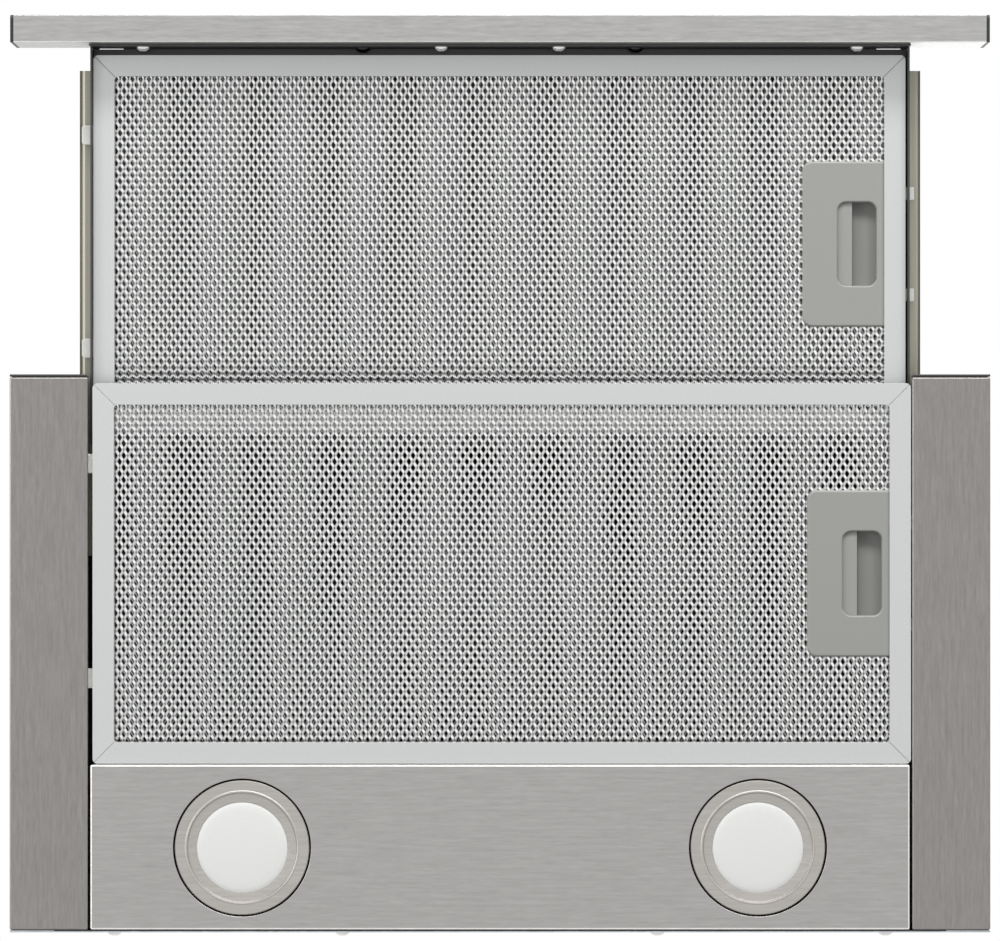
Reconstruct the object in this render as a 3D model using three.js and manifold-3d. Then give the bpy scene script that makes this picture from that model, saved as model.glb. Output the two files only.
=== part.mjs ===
// Pull-out range hood for a 500 mm wall cabinet, stored with its filter drawer pulled out.
// Millimetres. +X is to the right seen from the front, -Y is the front, +Z is up.
// z = 0 is the underside of the stainless trims; the origin is under the middle of the outline.
import * as THREE from "three";
import { mergeVertices } from "three/addons/utils/BufferGeometryUtils.js";
import Module from "manifold-3d";

const wasm = await Module();
wasm.setup();

// ---------------------------------------------------------------- driving sizes

const overallWidth = 500;
const bodyDepth = 284.5;
const bodyHeight = 178;
const pullOut = 169.3; // fascia's rear face to the body's front edge, drawer out
const sheet = 1; // folded steel sheet
const trimSheet = 0.8; // stainless trims and lamp panel
const trimWidth = 39.9;
const gap = 0.3; // between pieces that seat on or nest in each other

const fasciaWidth = overallWidth - 0.6;
const fasciaDepth = 14;
const fasciaHeight = 36;
const fasciaWall = 1.2;
const fasciaRadius = 2;
const capThickness = 1.7;
const capPlugDepth = 7;

const trimHem = 2; // low upturned edge beside the filters
const bendRadius = 1.2;
const bracketSheet = 1.2;
const bracketTop = 15.2; // face that the cabinet's side panels rest on
const cabinetPanel = 22; // room for a cabinet's side panel outside the chassis, on each side
const chassisWidth = overallWidth - cabinetPanel * 2;
const footFold = 1.3; // fold along the foot of each chassis side
const chassisInset = 2; // chassis front panel behind the body's front edge
const chassisLip = 10; // fold over the drawer opening
const bodyBottom = 0.6; // lower edges of brackets and rear wall, above the trims' underside
const bracketLip = 0.5; // bracket's inner wall ends this much higher
const coverLip = 10;
const screwHeadHeight = 2.3;
const screwHeadRadius = 3.8;
const screwShankRadius = 1.6;
const screwShankLength = 6;
const rearScrewMargin = 53; // from the overall width's end
const outerRearScrew = overallWidth / 2 - rearScrewMargin;
const innerRearScrew = 80.5;
const rearScrewPlaces = [-outerRearScrew, -innerRearScrew, innerRearScrew, outerRearScrew];
const rearScrewHeight = 8;

const openingWidth = overallWidth - trimWidth * 2; // between the side trims
const filterPlay = 2.8;
const filterWidth = openingWidth - filterPlay;
const filterDepth = 194;
const filterThickness = 9;
const filterBar = 10.9;
const filterWall = 1;
const filterCorner = 2.5;
const meshInsert = 5.5; // how far the mesh pack reaches into the frame's channel
const fixedFilterSetback = 4.6; // behind the body's front edge
const fixedFilterHeight = 1.2;
const fixedFilterShift = 0.9; // filters hang against one side of their play
const drawerFilterSetback = 4.9; // behind the fascia's rear face
const drawerFilterHeight = 21.2;
const drawerFilterShift = -0.3;

const handleWidth = 42;
const handleLength = 85;
const handleCorner = 5;
const handleSkin = 1.3;
const handleTuck = 5; // reaches this far into the frame's channel
const handleChannelWall = 1.5;
const fingerSlotWidth = 20;
const fingerSlotLength = 43;
const fingerSlotMargin = 3.9; // from the slot to the frame bar
const fingerSlotCorner = 4.5;
const gripWidth = 7.5;
const latchPlate = 2.1;
const latchTravel = 5;
const latchTongueWidth = 6.5;
const latchTongueSpacing = 52.1;
const latchTongueReach = 4.6; // past the filter's edge
const tabWidth = 10;
const tabThickness = 3;
const tabReach = 6;
const tabPlaces = [-56, 53.5]; // from the filter's middle, towards the rear

const trayOverlap = 0.4; // the tray runs above the trims' edges
const trayWidth = openingWidth + trayOverlap;
const trayDepth = 205;
const trayWallBottom = 18;
const trayFlangeBottom = 10;
const traySeatOverlap = 9;
const trayScrewMargin = 27; // from the tray's side
const outerTrayScrew = trayWidth / 2 - trayScrewMargin;
const innerTrayScrew = 30.2;
const trayScrewPlaces = [-outerTrayScrew, -innerTrayScrew, innerTrayScrew, outerTrayScrew];
const trayScrewHeight = 20;
const cornerSlotLength = 12.3;
const cornerSlotDepth = 1.2;
const cornerSlotPlace = trayWidth / 2 - 10; // middle of each corner slot from the centre line
const coverSetback = 2.2;
const drawerHeadroom = 1.7; // between the drawer and the opening in the chassis

const slideLength = 250;
const slideSetback = 12.3; // slide's front end behind the fascia's rear face
const slideHeight = 17;
const slideAboveFilter = 5.6; // slide's lower edge above the drawer filter's underside
const slideDepth = 9.7; // tray side face to bracket side face
const slideSheet = 1.2;
const innerMemberWidth = 6.1;
const outerMemberWidth = 7;
const ballRadius = 1;
const ballPlay = 0.1;
const ballPitch = 18;
const ballCount = 5;
const cageSheet = 0.6;
const cageEnd = 5.5; // from the first ball to the cage's end
const cageSetback = 2; // behind the outer member's front end, drawer out
const cageLip = 1.2; // cage's legs end this far beyond the ball centres
const ballInset = 0.6; // ball's nearest point inside the outer member's lip

const lampPanelPlay = 2.2;
const lampPanelWidth = openingWidth - lampPanelPlay;
const lampMargin = 77.5; // lamp centres from the lamp panel's ends
const lampSpacing = lampPanelWidth - lampMargin * 2;
const lampSetback = 241.3; // lamp centres behind the body's front edge
const lampRadius = 34.8;
const lampStepRadius = 28.9;
const lampLensRadius = 23;
const lampCanRadius = 30;
const lampCanHeight = 36;
const lampCanWall = 1.2;
const lampCanFlange = 3; // rests on the lens
const lampCanShoulder = 3; // rounded edge of the can's closed end
const lampRimWidth = 3.2; // ring's hidden rim above the panel
const lampRimSheet = 1;
const lampRimEdge = 0.3; // ring's front edge behind the trims' underside
const lampStepDepth = 1.2;
const lampThroatDepth = 1.9; // from the underside to where the ring meets the lens
const lampLensDomes = [1.4, 1.5, 1.8, 2.1]; // lens face behind the underside, from its middle out
const lampLensThickness = 1.5;
const lampPanelSetback = 199;
const lampPanelLip = 12;

const fanRadius = 45;
const fanWidth = 92;
const fanBladeCount = 20;
const fanBladeDepth = 8;
const fanBladeSheet = 0.9;
const fanDisc = 1.6;
const fanHubRadius = 9;
const fanHubLength = 20;
const fanRing = 2;
const shaftRadius = 4;
const scrollWall = 1.5;
const scrollTip = 3; // radial gap between wheel and cut-off
const scrollGrowth = 18; // how much the spiral opens from cut-off to discharge
const scrollCutoffAngle = 75;
const scrollSideGap = 4;
const scrollFlange = 9; // screwed up against the top cover
const scrollFlangeSheet = 2;
const inletRadius = 38;
const motorRadius = 31;
const motorLength = 46;
const motorStandoff = 20;
const motorRing = 7; // width of the bracket's ring round the inlet
const motorLeg = 9;
const outletSetback = 142; // duct centre behind the body's front edge

const collarRadius = 60;
const collarWall = 2;
const collarHeight = 25;
const collarFlange = 12;
const flapSheet = 1.2;
const flapBarrelRadius = 1.8;
const flapPinRadius = 1.2;
const flapOffset = 2.2;
const flapHeight = 6; // hinge line above the top cover
const flapStop = 3;

const buttonCount = 5;
const buttonPitch = 22;
const buttonRowPlace = (innerTrayScrew + outerTrayScrew) / 2 + 0.25; // middle of the row, between two screws
const buttonWidth = 15;
const buttonHeight = 9;
const buttonRim = 1;
const switchDepth = 7.3;
const switchHeight = 24;

const terminalBox = new THREE.Vector3(62, 44, 24);
const terminalMargin = 97; // middle of the box from the chassis side
const terminalSetback = 215; // front of the box behind the body's front edge
const glandRadius = 8;
const glandLength = 16;

// ---------------------------------------------------------------- derived places

const fasciaFront = -(fasciaDepth + pullOut + bodyDepth + screwHeadHeight) / 2;
const fasciaRear = fasciaFront + fasciaDepth;
const bodyFront = fasciaRear + pullOut;
const bodyRear = bodyFront + bodyDepth;
const rearWallFront = bodyRear - sheet;
const trimInner = overallWidth / 2 - trimWidth;
const trimTop = bracketTop - bracketSheet - gap;
const trayHalf = trayWidth / 2;
const bracketFace = trayHalf + slideDepth + gap * 2;
const bracketInner = trimInner + bracketSheet;
const chassisHalf = chassisWidth / 2;
const joggle = chassisHalf + gap; // the bracket steps down inside it, so that the chassis feet stay below the seat
const footBottom = bracketTop - sheet;
const webBottom = drawerFilterHeight + filterThickness + gap;
const slideMiddle = drawerFilterHeight + slideAboveFilter + slideHeight / 2;
const trayTop = slideMiddle + slideHeight / 2 + gap * 2;
const drawerClearHeight = trayTop + sheet + drawerHeadroom;
const windowRight = filterWidth / 2 - filterBar;
const handleBottom = filterWall + gap;
const handleTop = filterThickness - filterWall - gap;
const latchBottom = handleBottom + handleSkin + gap;
const slotRight = windowRight - fingerSlotMargin;
const slotLeft = slotRight - fingerSlotWidth;
const latchTop = latchBottom + latchPlate;
const tabBottom = handleBottom + gap;
const lampPlaceY = bodyFront + lampSetback;
const scrollStart = fanRadius + scrollTip;
const scrollEnd = scrollStart + scrollGrowth;
const scrollCutoff = THREE.MathUtils.degToRad(scrollCutoffAngle);
const outletFront = scrollStart * Math.cos(scrollCutoff);
const outletY = bodyFront + outletSetback;
const fanY = outletY - (outletFront + scrollEnd) / 2;
const scrollTop = bodyHeight - sheet;
const fanZ = scrollTop - scrollEnd;
const scrollHalf = fanWidth / 2 + scrollSideGap + scrollWall;
const bracketEnd = scrollHalf + bracketSheet + motorStandoff;
const flapZ = bodyHeight + flapHeight;

// ---------------------------------------------------------------- materials

function finish(color, roughness, metalness) {
  return new THREE.MeshStandardMaterial({ color, roughness, metalness });
}

const materials = {
  stainless: finish(0xa9a7a3, 0.35, 0.9),
  blackSteel: finish(0x1d1c1d, 0.5, 0.1),
  blackPlastic: finish(0x17171a, 0.55, 0),
  greySteel: finish(0xb4b6b8, 0.5, 0.6),
  filterFrame: finish(0xd2d3d4, 0.45, 0.4),
  filterMesh: finish(0xc8c8c4, 0.4, 0.9),
  greyPlastic: finish(0xa2a59e, 0.55, 0),
  whitePlastic: finish(0xe8e8e4, 0.5, 0),
  zinc: finish(0xbfbdb2, 0.35, 0.9),
  satinRing: finish(0xb0aca6, 0.35, 0.7),
  frosted: finish(0xe4e5e2, 0.6, 0),
  whiteSteel: finish(0xdadbdc, 0.5, 0.3),
};

// ---------------------------------------------------------------- making solids

function toSolid(geometry) {
  const bare = geometry.index ? geometry.toNonIndexed() : geometry.clone();
  bare.deleteAttribute("normal");
  bare.deleteAttribute("uv");
  const merged = mergeVertices(bare, 1e-4);
  return new wasm.Manifold(
    new wasm.Mesh({
      numProp: 3,
      vertProperties: new Float32Array(merged.attributes.position.array),
      triVerts: new Uint32Array(merged.index.array),
    }),
  );
}

function toGeometry(solid) {
  const mesh = solid.getMesh();
  const geometry = new THREE.BufferGeometry();
  geometry.setAttribute("position", new THREE.BufferAttribute(mesh.vertProperties, 3));
  geometry.setIndex(new THREE.BufferAttribute(mesh.triVerts, 1));
  geometry.computeVertexNormals();
  return geometry;
}

/** Joins the first list of geometries and cuts away the second. */
function build(joined, cut = []) {
  let solid = toSolid(joined[0]);
  for (const geometry of joined.slice(1)) {
    solid = solid.add(toSolid(geometry));
  }
  for (const geometry of cut) {
    solid = solid.subtract(toSolid(geometry));
  }
  return toGeometry(solid);
}

function block([x0, x1], [y0, y1], [z0, z1]) {
  const geometry = new THREE.BoxGeometry(x1 - x0, y1 - y0, z1 - z0);
  return geometry.translate((x0 + x1) / 2, (y0 + y1) / 2, (z0 + z1) / 2);
}

/** Turns a geometry made along +Z so that its +Z becomes the named axis. */
function along(geometry, axis) {
  const turns = {
    x: new THREE.Matrix4().makeBasis(
      new THREE.Vector3(0, 1, 0),
      new THREE.Vector3(0, 0, 1),
      new THREE.Vector3(1, 0, 0),
    ),
    y: new THREE.Matrix4().makeBasis(
      new THREE.Vector3(0, 0, 1),
      new THREE.Vector3(1, 0, 0),
      new THREE.Vector3(0, 1, 0),
    ),
    z: new THREE.Matrix4(),
  };
  return geometry.applyMatrix4(turns[axis]);
}

/** A flat outline in the two axes after `axis` in the order X, Y, Z, X, extruded from one place to another. */
function prism(shape, axis, [from, to]) {
  const geometry = new THREE.ExtrudeGeometry(shape, {
    depth: to - from,
    bevelEnabled: false,
    curveSegments: 3,
  });
  return along(geometry.translate(0, 0, from), axis);
}

function rod(axis, [a, b], radius, [from, to], sides = 24) {
  const geometry = new THREE.CylinderGeometry(radius, radius, to - from, sides);
  geometry.rotateX(Math.PI / 2);
  geometry.translate(a, b, (from + to) / 2);
  return along(geometry, axis);
}

/** Revolves a closed or axis-to-axis profile of [radius, height] points about Z. */
function revolve(profile, sides = 32) {
  const points = profile.map(([radius, height]) => new THREE.Vector2(radius, height));
  return new THREE.LatheGeometry(points, sides).rotateX(Math.PI / 2);
}

function outline(points) {
  return new THREE.Shape(points.map(([a, b]) => new THREE.Vector2(a, b)));
}

/** Rectangle with one radius on each corner: [low-low, high-low, high-high, low-high]. */
function roundedRectangle([a0, a1], [b0, b1], radii) {
  const [r0, r1, r2, r3] = radii;
  const shape = new THREE.Shape();
  shape.moveTo(a0 + r0, b0);
  shape.lineTo(a1 - r1, b0);
  if (r1 > 0) shape.absarc(a1 - r1, b0 + r1, r1, -Math.PI / 2, 0, false);
  shape.lineTo(a1, b1 - r2);
  if (r2 > 0) shape.absarc(a1 - r2, b1 - r2, r2, 0, Math.PI / 2, false);
  shape.lineTo(a0 + r3, b1);
  if (r3 > 0) shape.absarc(a0 + r3, b1 - r3, r3, Math.PI / 2, Math.PI, false);
  shape.lineTo(a0, b0 + r0);
  if (r0 > 0) shape.absarc(a0 + r0, b0 + r0, r0, Math.PI, Math.PI * 1.5, false);
  return shape;
}

/** The same piece on the other side of the centre line, with its faces still pointing out. */
function mirrored(geometry) {
  const copy = geometry.clone().scale(-1, 1, 1);
  const index = copy.index.array;
  for (let i = 0; i < index.length; i += 3) {
    const kept = index[i];
    index[i] = index[i + 1];
    index[i + 1] = kept;
  }
  copy.computeVertexNormals();
  return copy;
}

/** A block whose lower edges are rounded, open to nothing: the outside of a folded pan. */
function roundedBlock([x0, x1], [y0, y1], [z0, z1], radius) {
  const shape = roundedRectangle([x0 + radius, x1 - radius], [y0 + radius, y1 - radius], [0, 0, 0, 0]);
  const geometry = new THREE.ExtrudeGeometry(shape, {
    depth: z1 - z0 + radius,
    bevelEnabled: true,
    bevelSize: radius,
    bevelThickness: radius,
    bevelSegments: 3,
  });
  geometry.translate(0, 0, z0 + radius);
  const above = block([x0 - 1, x1 + 1], [y0 - 1, y1 + 1], [z1, z1 + radius * 4]);
  return toGeometry(toSolid(geometry).subtract(toSolid(above)));
}

/** A sheet folded up on all four sides with rounded folds. */
function pan([x0, x1], [y0, y1], [z0, z1], thickness) {
  const inside = roundedBlock(
    [x0 + thickness, x1 - thickness],
    [y0 + thickness, y1 - thickness],
    [z0 + thickness, z1 + 1],
    bendRadius - thickness,
  );
  return build([roundedBlock([x0, x1], [y0, y1], [z0, z1], bendRadius)], [inside]);
}

/** Pan-head screw pointing along -Y, its head's seat on y. */
function rearFacingScrew(x, y, z) {
  const head = revolve([
    [0, 0],
    [screwHeadRadius, 0],
    [screwHeadRadius, screwHeadHeight * 0.45],
    [screwHeadRadius * 0.8, screwHeadHeight * 0.85],
    [screwHeadRadius * 0.35, screwHeadHeight],
    [0, screwHeadHeight],
  ], 10);
  const shank = rod("z", [0, 0], screwShankRadius, [-screwShankLength, 0.5], 8);
  const slotWidth = 0.9;
  const slotLength = 4;
  const slotFloor = screwHeadHeight - 1.1;
  const cross = [
    block([-slotLength / 2, slotLength / 2], [-slotWidth / 2, slotWidth / 2], [slotFloor, 4]),
    block([-slotWidth / 2, slotWidth / 2], [-slotLength / 2, slotLength / 2], [slotFloor, 4]),
  ];
  const screw = build([head, shank], cross);
  screw.rotateX(-Math.PI / 2);
  return screw.translate(x, y, z);
}

// ---------------------------------------------------------------- body shell and trims

function chassis() {
  const wall = chassisHalf - sheet;
  const footInner = bracketFace + bracketSheet + gap;
  const front = bodyFront + chassisInset;
  const top = bodyHeight - sheet;
  const shell = block([-chassisHalf, chassisHalf], [front, bodyRear], [footBottom, top]);
  const cuts = [
    block([-wall, wall], [front + sheet, rearWallFront], [drawerClearHeight + sheet, top + 1]),
    block([-wall, wall], [front + chassisLip, rearWallFront], [footBottom + sheet, drawerClearHeight + 2]),
    block([-wall, wall], [front - 1, front + chassisLip + 1], [footBottom + sheet, drawerClearHeight]),
    block([-footInner, footInner], [front - 1, rearWallFront], [footBottom - 1, footBottom + sheet + 1]),
  ];
  const rearEars = block(
    [-overallWidth / 2, overallWidth / 2],
    [rearWallFront, bodyRear],
    [bodyBottom, footBottom - gap],
  );
  const rearSkirt = block(
    [-bracketInner, bracketInner],
    [rearWallFront, bodyRear],
    [bodyBottom, footBottom + sheet],
  );
  const screwHoles = rearScrewPlaces.map((x) =>
    rod("y", [rearScrewHeight, x], screwShankRadius + gap, [rearWallFront - 1, bodyRear + 1], 8),
  );
  const folds = [-1, 1].map((side) => {
    const corner = outline([
      [footBottom - 1, side * (chassisHalf - footFold - 1)],
      [footBottom + footFold + 1, side * (chassisHalf + 1)],
      [footBottom - 1, side * (chassisHalf + 1)],
    ]);
    return prism(corner, "y", [front - 1, bodyRear + 1]);
  });
  return build([build([shell], [...cuts, ...folds]), rearEars, rearSkirt], screwHoles);
}

function topCover() {
  const x = [-chassisHalf, chassisHalf];
  const y = [bodyFront + chassisInset, bodyRear];
  const plate = block(x, y, [bodyHeight - sheet, bodyHeight]);
  const lipInset = sheet + gap;
  const lip = (side, inset) => [side[0] + inset, side[1] - inset];
  const lipZ = [bodyHeight - coverLip, bodyHeight - sheet / 2];
  const lipOutside = block(lip(x, lipInset), lip(y, lipInset), lipZ);
  const lipInside = block(lip(x, lipInset + sheet), lip(y, lipInset + sheet), [lipZ[0] - 1, bodyHeight - sheet]);
  const ring = build([lipOutside], [lipInside]);
  const outlet = block(
    [-scrollHalf + scrollWall, scrollHalf - scrollWall],
    [fanY + outletFront, fanY + scrollEnd],
    [lipZ[0] - 1, bodyHeight + 1],
  );
  return build([plate, ring], [outlet]);
}

/** Black folded bracket under each side wall: it carries the slide, the trim and the chassis. */
function sideBracket(slots) {
  const section = outline([
    [bodyBottom + bracketLip, bracketInner],
    [bodyBottom + bracketLip, bracketInner + bracketSheet],
    [footBottom - bracketSheet, bracketInner + bracketSheet],
    [footBottom - bracketSheet, joggle + bracketSheet],
    [bracketTop - bracketSheet, joggle + bracketSheet],
    [bracketTop - bracketSheet, overallWidth / 2],
    [bracketTop, overallWidth / 2],
    [bracketTop, joggle],
    [footBottom, joggle],
    [footBottom, bracketFace + bracketSheet],
    [slideMiddle + slideHeight / 2, bracketFace + bracketSheet],
    [slideMiddle + slideHeight / 2, bracketFace],
    [footBottom, bracketFace],
    [footBottom, bracketInner],
  ]);
  const front = block(
    [trimInner + gap, overallWidth / 2],
    [bodyFront, bodyFront + bracketSheet],
    [bodyBottom, footBottom],
  );
  const wallX = [bracketInner - 1, bracketInner + bracketSheet + 1];
  const cuts = slots.map(({ y, z }) => block(wallX, y, z));
  return build([prism(section, "y", [bodyFront, rearWallFront]), front], cuts);
}

function sideTrim() {
  const x = [trimInner, overallWidth / 2];
  const y = [bodyFront + bracketSheet + gap, rearWallFront - gap];
  const trim = pan(x, y, [0, trimTop], trimSheet);
  const notchOuter = bracketInner + bracketSheet + gap;
  const aboveHem = block([x[0] - 1, notchOuter], [y[0] - 1, y[1] + 1], [trimHem, trimTop + 1]);
  const besideWall = block([x[0] + trimSheet, notchOuter], [y[0] - 1, y[1] + 1], [trimSheet, trimTop + 1]);
  const underJoggle = block(
    [notchOuter - 1, joggle + bracketSheet + gap],
    [y[0] - 1, y[1] + 1],
    [footBottom - bracketSheet - gap, trimTop + 1],
  );
  return build([trim], [aboveHem, besideWall, underJoggle]);
}

function lampPanel() {
  const x = [-lampPanelWidth / 2, lampPanelWidth / 2];
  const y = [bodyFront + lampPanelSetback, rearWallFront - gap];
  const holes = [-1, 1].map((side) =>
    rod("z", [(side * lampSpacing) / 2, lampPlaceY], lampRadius + gap, [-1, 3], 28),
  );
  const screwHoles = rearScrewPlaces.map((place) =>
    rod("y", [rearScrewHeight, place], screwShankRadius + gap, [y[1] - 3, y[1] + 1], 8),
  );
  return build([pan(x, y, [0, lampPanelLip], trimSheet)], [...holes, ...screwHoles]);
}

// ---------------------------------------------------------------- lamps

const rimBottom = trimSheet + gap;
const bezelTop = rimBottom + lampRimSheet;
const lampSeat = bezelTop + gap;

function lampBezel() {
  return revolve([
    [lampLensRadius + gap, lampThroatDepth],
    [lampStepRadius - lampRimEdge, lampStepDepth],
    [lampStepRadius, lampRimEdge + 0.2],
    [lampRadius - 0.5, lampRimEdge],
    [lampRadius, lampRimEdge + 0.4],
    [lampRadius, rimBottom],
    [lampRadius + lampRimWidth, rimBottom],
    [lampRadius + lampRimWidth, bezelTop],
    [lampLensRadius + gap, bezelTop],
    [lampLensRadius + gap, lampThroatDepth],
  ], 24);
}

function lampLens() {
  return revolve([
    [0, lampLensDomes[0]],
    [10, lampLensDomes[1]],
    [18, lampLensDomes[2]],
    [lampLensRadius - 0.6, lampLensDomes[3]],
    [lampLensRadius, lampSeat],
    [lampCanRadius - 2, lampSeat],
    [lampCanRadius - 2, lampSeat + lampLensThickness],
    [0, lampSeat + lampLensThickness],
  ], 20);
}

function lampCan() {
  const top = lampSeat + lampCanHeight;
  return revolve([
    [lampCanRadius - lampCanWall, lampSeat],
    [lampCanRadius + lampCanFlange, lampSeat],
    [lampCanRadius + lampCanFlange, lampSeat + lampCanWall],
    [lampCanRadius, lampSeat + lampCanWall],
    [lampCanRadius, top - lampCanShoulder],
    [lampCanRadius - lampCanShoulder, top],
    [0, top],
    [0, top - lampCanWall],
    [lampCanRadius - lampCanShoulder - lampCanWall / 2, top - lampCanWall],
    [lampCanRadius - lampCanWall, top - lampCanShoulder - lampCanWall / 2],
    [lampCanRadius - lampCanWall, lampSeat],
  ], 20);
}

// ---------------------------------------------------------------- grease filters
// Each filter is made around its own middle, with z = 0 on its underside.

const halfWidth = filterWidth / 2;
const halfDepth = filterDepth / 2;
const tongueHalf = latchTongueSpacing / 2 + latchTongueWidth / 2;
const tongueInner = latchTongueSpacing / 2 - latchTongueWidth / 2;

function filterFrame() {
  const corner = filterCorner - 0.8;
  const outside = new THREE.ExtrudeGeometry(
    roundedRectangle(
      [-halfWidth + 0.8, halfWidth - 0.8],
      [-halfDepth + 0.8, halfDepth - 0.8],
      [corner, corner, corner, corner],
    ),
    { depth: filterThickness - 1.6, bevelSize: 0.8, bevelThickness: 0.8, bevelSegments: 2, curveSegments: 3 },
  ).translate(0, 0, 0.8);
  const window = block(
    [-windowRight, windowRight],
    [-halfDepth + filterBar, halfDepth - filterBar],
    [-1, filterThickness + 1],
  );
  const channel = block(
    [-halfWidth + filterWall * 1.2, halfWidth - filterWall * 1.2],
    [-halfDepth + filterWall * 1.2, halfDepth - filterWall * 1.2],
    [filterWall, filterThickness - filterWall],
  );
  const tongueSlots = [-1, 1].map((side) =>
    block(
      [halfWidth - 3, halfWidth + 1],
      [side * (latchTongueSpacing / 2) - latchTongueWidth / 2 - gap,
        side * (latchTongueSpacing / 2) + latchTongueWidth / 2 + gap],
      [latchBottom - gap, latchTop + gap],
    ),
  );
  const tabSlots = tabPlaces.map((place) =>
    block(
      [-halfWidth - 1, -halfWidth + 3],
      [place - tabWidth / 2 - gap, place + tabWidth / 2 + gap],
      [tabBottom - gap, tabBottom + tabThickness + gap],
    ),
  );
  return build([outside], [window, channel, ...tongueSlots, ...tabSlots]);
}

/** Pack of expanded aluminium sheets, notched round the handle and the pin tabs. */
function filterMesh() {
  const z = [filterWall + gap, filterThickness - filterWall - gap];
  const reach = meshInsert;
  const pack = block(
    [-windowRight - reach, windowRight + reach],
    [-halfDepth + filterBar - reach, halfDepth - filterBar + reach],
    z,
  );
  const notch = block(
    [windowRight - handleWidth - gap, windowRight + reach + 1],
    [-handleLength / 2 - gap, handleLength / 2 + gap],
    [-1, filterThickness + 1],
  );
  return build([pack], [notch]);
}

function filterHandle() {
  const left = windowRight - handleWidth;
  const right = windowRight + handleTuck;
  const wellOuter = fingerSlotLength / 2 + 1;
  const outside = prism(
    roundedRectangle(
      [left, right],
      [-handleLength / 2, handleLength / 2],
      [handleCorner, 0.5, 0.5, handleCorner],
    ),
    "z",
    [handleBottom, handleTop],
  );
  const channel = block(
    [left + handleChannelWall, right + 1],
    [-tongueHalf - gap, tongueHalf + gap],
    [handleBottom + handleSkin, handleTop + 1],
  );
  const wellBody = block([slotLeft + gripWidth + gap, right], [-wellOuter, wellOuter], [handleBottom, handleTop]);
  const well = block(
    [slotLeft + gripWidth, slotRight],
    [-fingerSlotLength / 2, fingerSlotLength / 2],
    [handleBottom - 1, handleTop - 0.9],
  );
  const slot = prism(
    roundedRectangle(
      [slotLeft, slotRight],
      [-fingerSlotLength / 2, fingerSlotLength / 2],
      [fingerSlotCorner, fingerSlotCorner, fingerSlotCorner, fingerSlotCorner],
    ),
    "z",
    [handleBottom - 1, handleBottom + handleSkin + gap],
  );
  const skirt = build([outside], [channel]);
  return build([skirt, wellBody], [well, slot]);
}

/** Sliding latch: a finger grip across two arms whose tips lock past the filter's edge. */
function filterLatch() {
  const left = slotLeft - 3;
  const tip = halfWidth + latchTongueReach;
  const bar = block([left, slotLeft + gripWidth], [-tongueHalf, tongueHalf], [latchBottom, latchTop]);
  const ridge = block(
    [slotLeft + latchTravel + gap, slotLeft + gripWidth],
    [-fingerSlotLength / 2 + fingerSlotCorner, fingerSlotLength / 2 - fingerSlotCorner],
    [handleBottom + gap, latchTop],
  );
  const arms = [-1, 1].map((side) => {
    const middle = (side * latchTongueSpacing) / 2;
    return block(
      [left, tip],
      [middle - latchTongueWidth / 2, middle + latchTongueWidth / 2],
      [latchBottom, latchTop],
    );
  });
  return build([bar, ridge, ...arms]);
}

/** Pin tab at the filter's hinge side: a foot inside the frame's channel and a blade through its wall. */
function filterTab(place) {
  const bladeZ = [tabBottom, tabBottom + tabThickness];
  const blade = roundedRectangle(
    [-halfWidth - tabReach, -halfWidth + 2],
    [place - tabWidth / 2, place + tabWidth / 2],
    [1.5, 0, 0, 1.5],
  );
  const foot = block(
    [-halfWidth + filterWall * 1.2 + gap, -windowRight - meshInsert - gap],
    [place - tabWidth / 2 - 2, place + tabWidth / 2 + 2],
    [filterWall + gap, filterThickness - filterWall - gap],
  );
  return build([prism(blade, "z", bladeZ), foot]);
}

const fixedFilterPlace = [
  fixedFilterShift,
  bodyFront + fixedFilterSetback + halfDepth,
  fixedFilterHeight,
];
const drawerFilterPlace = [
  drawerFilterShift,
  fasciaRear + drawerFilterSetback + halfDepth,
  drawerFilterHeight,
];

/** The slots that a filter's tabs and latch tongues need in the piece that carries it. */
function lockSlots([, y, z], side) {
  const widths = side < 0
    ? tabPlaces.map((place) => [place, tabWidth])
    : [-1, 1].map((turn) => [(turn * latchTongueSpacing) / 2, latchTongueWidth]);
  const low = side < 0 ? tabBottom : latchBottom;
  const high = side < 0 ? tabBottom + tabThickness : latchTop;
  return widths.map(([place, width]) => ({
    y: [y + place - width / 2 - gap, y + place + width / 2 + gap],
    z: [z + low - gap, z + high + gap],
  }));
}

// ---------------------------------------------------------------- filter drawer

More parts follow.
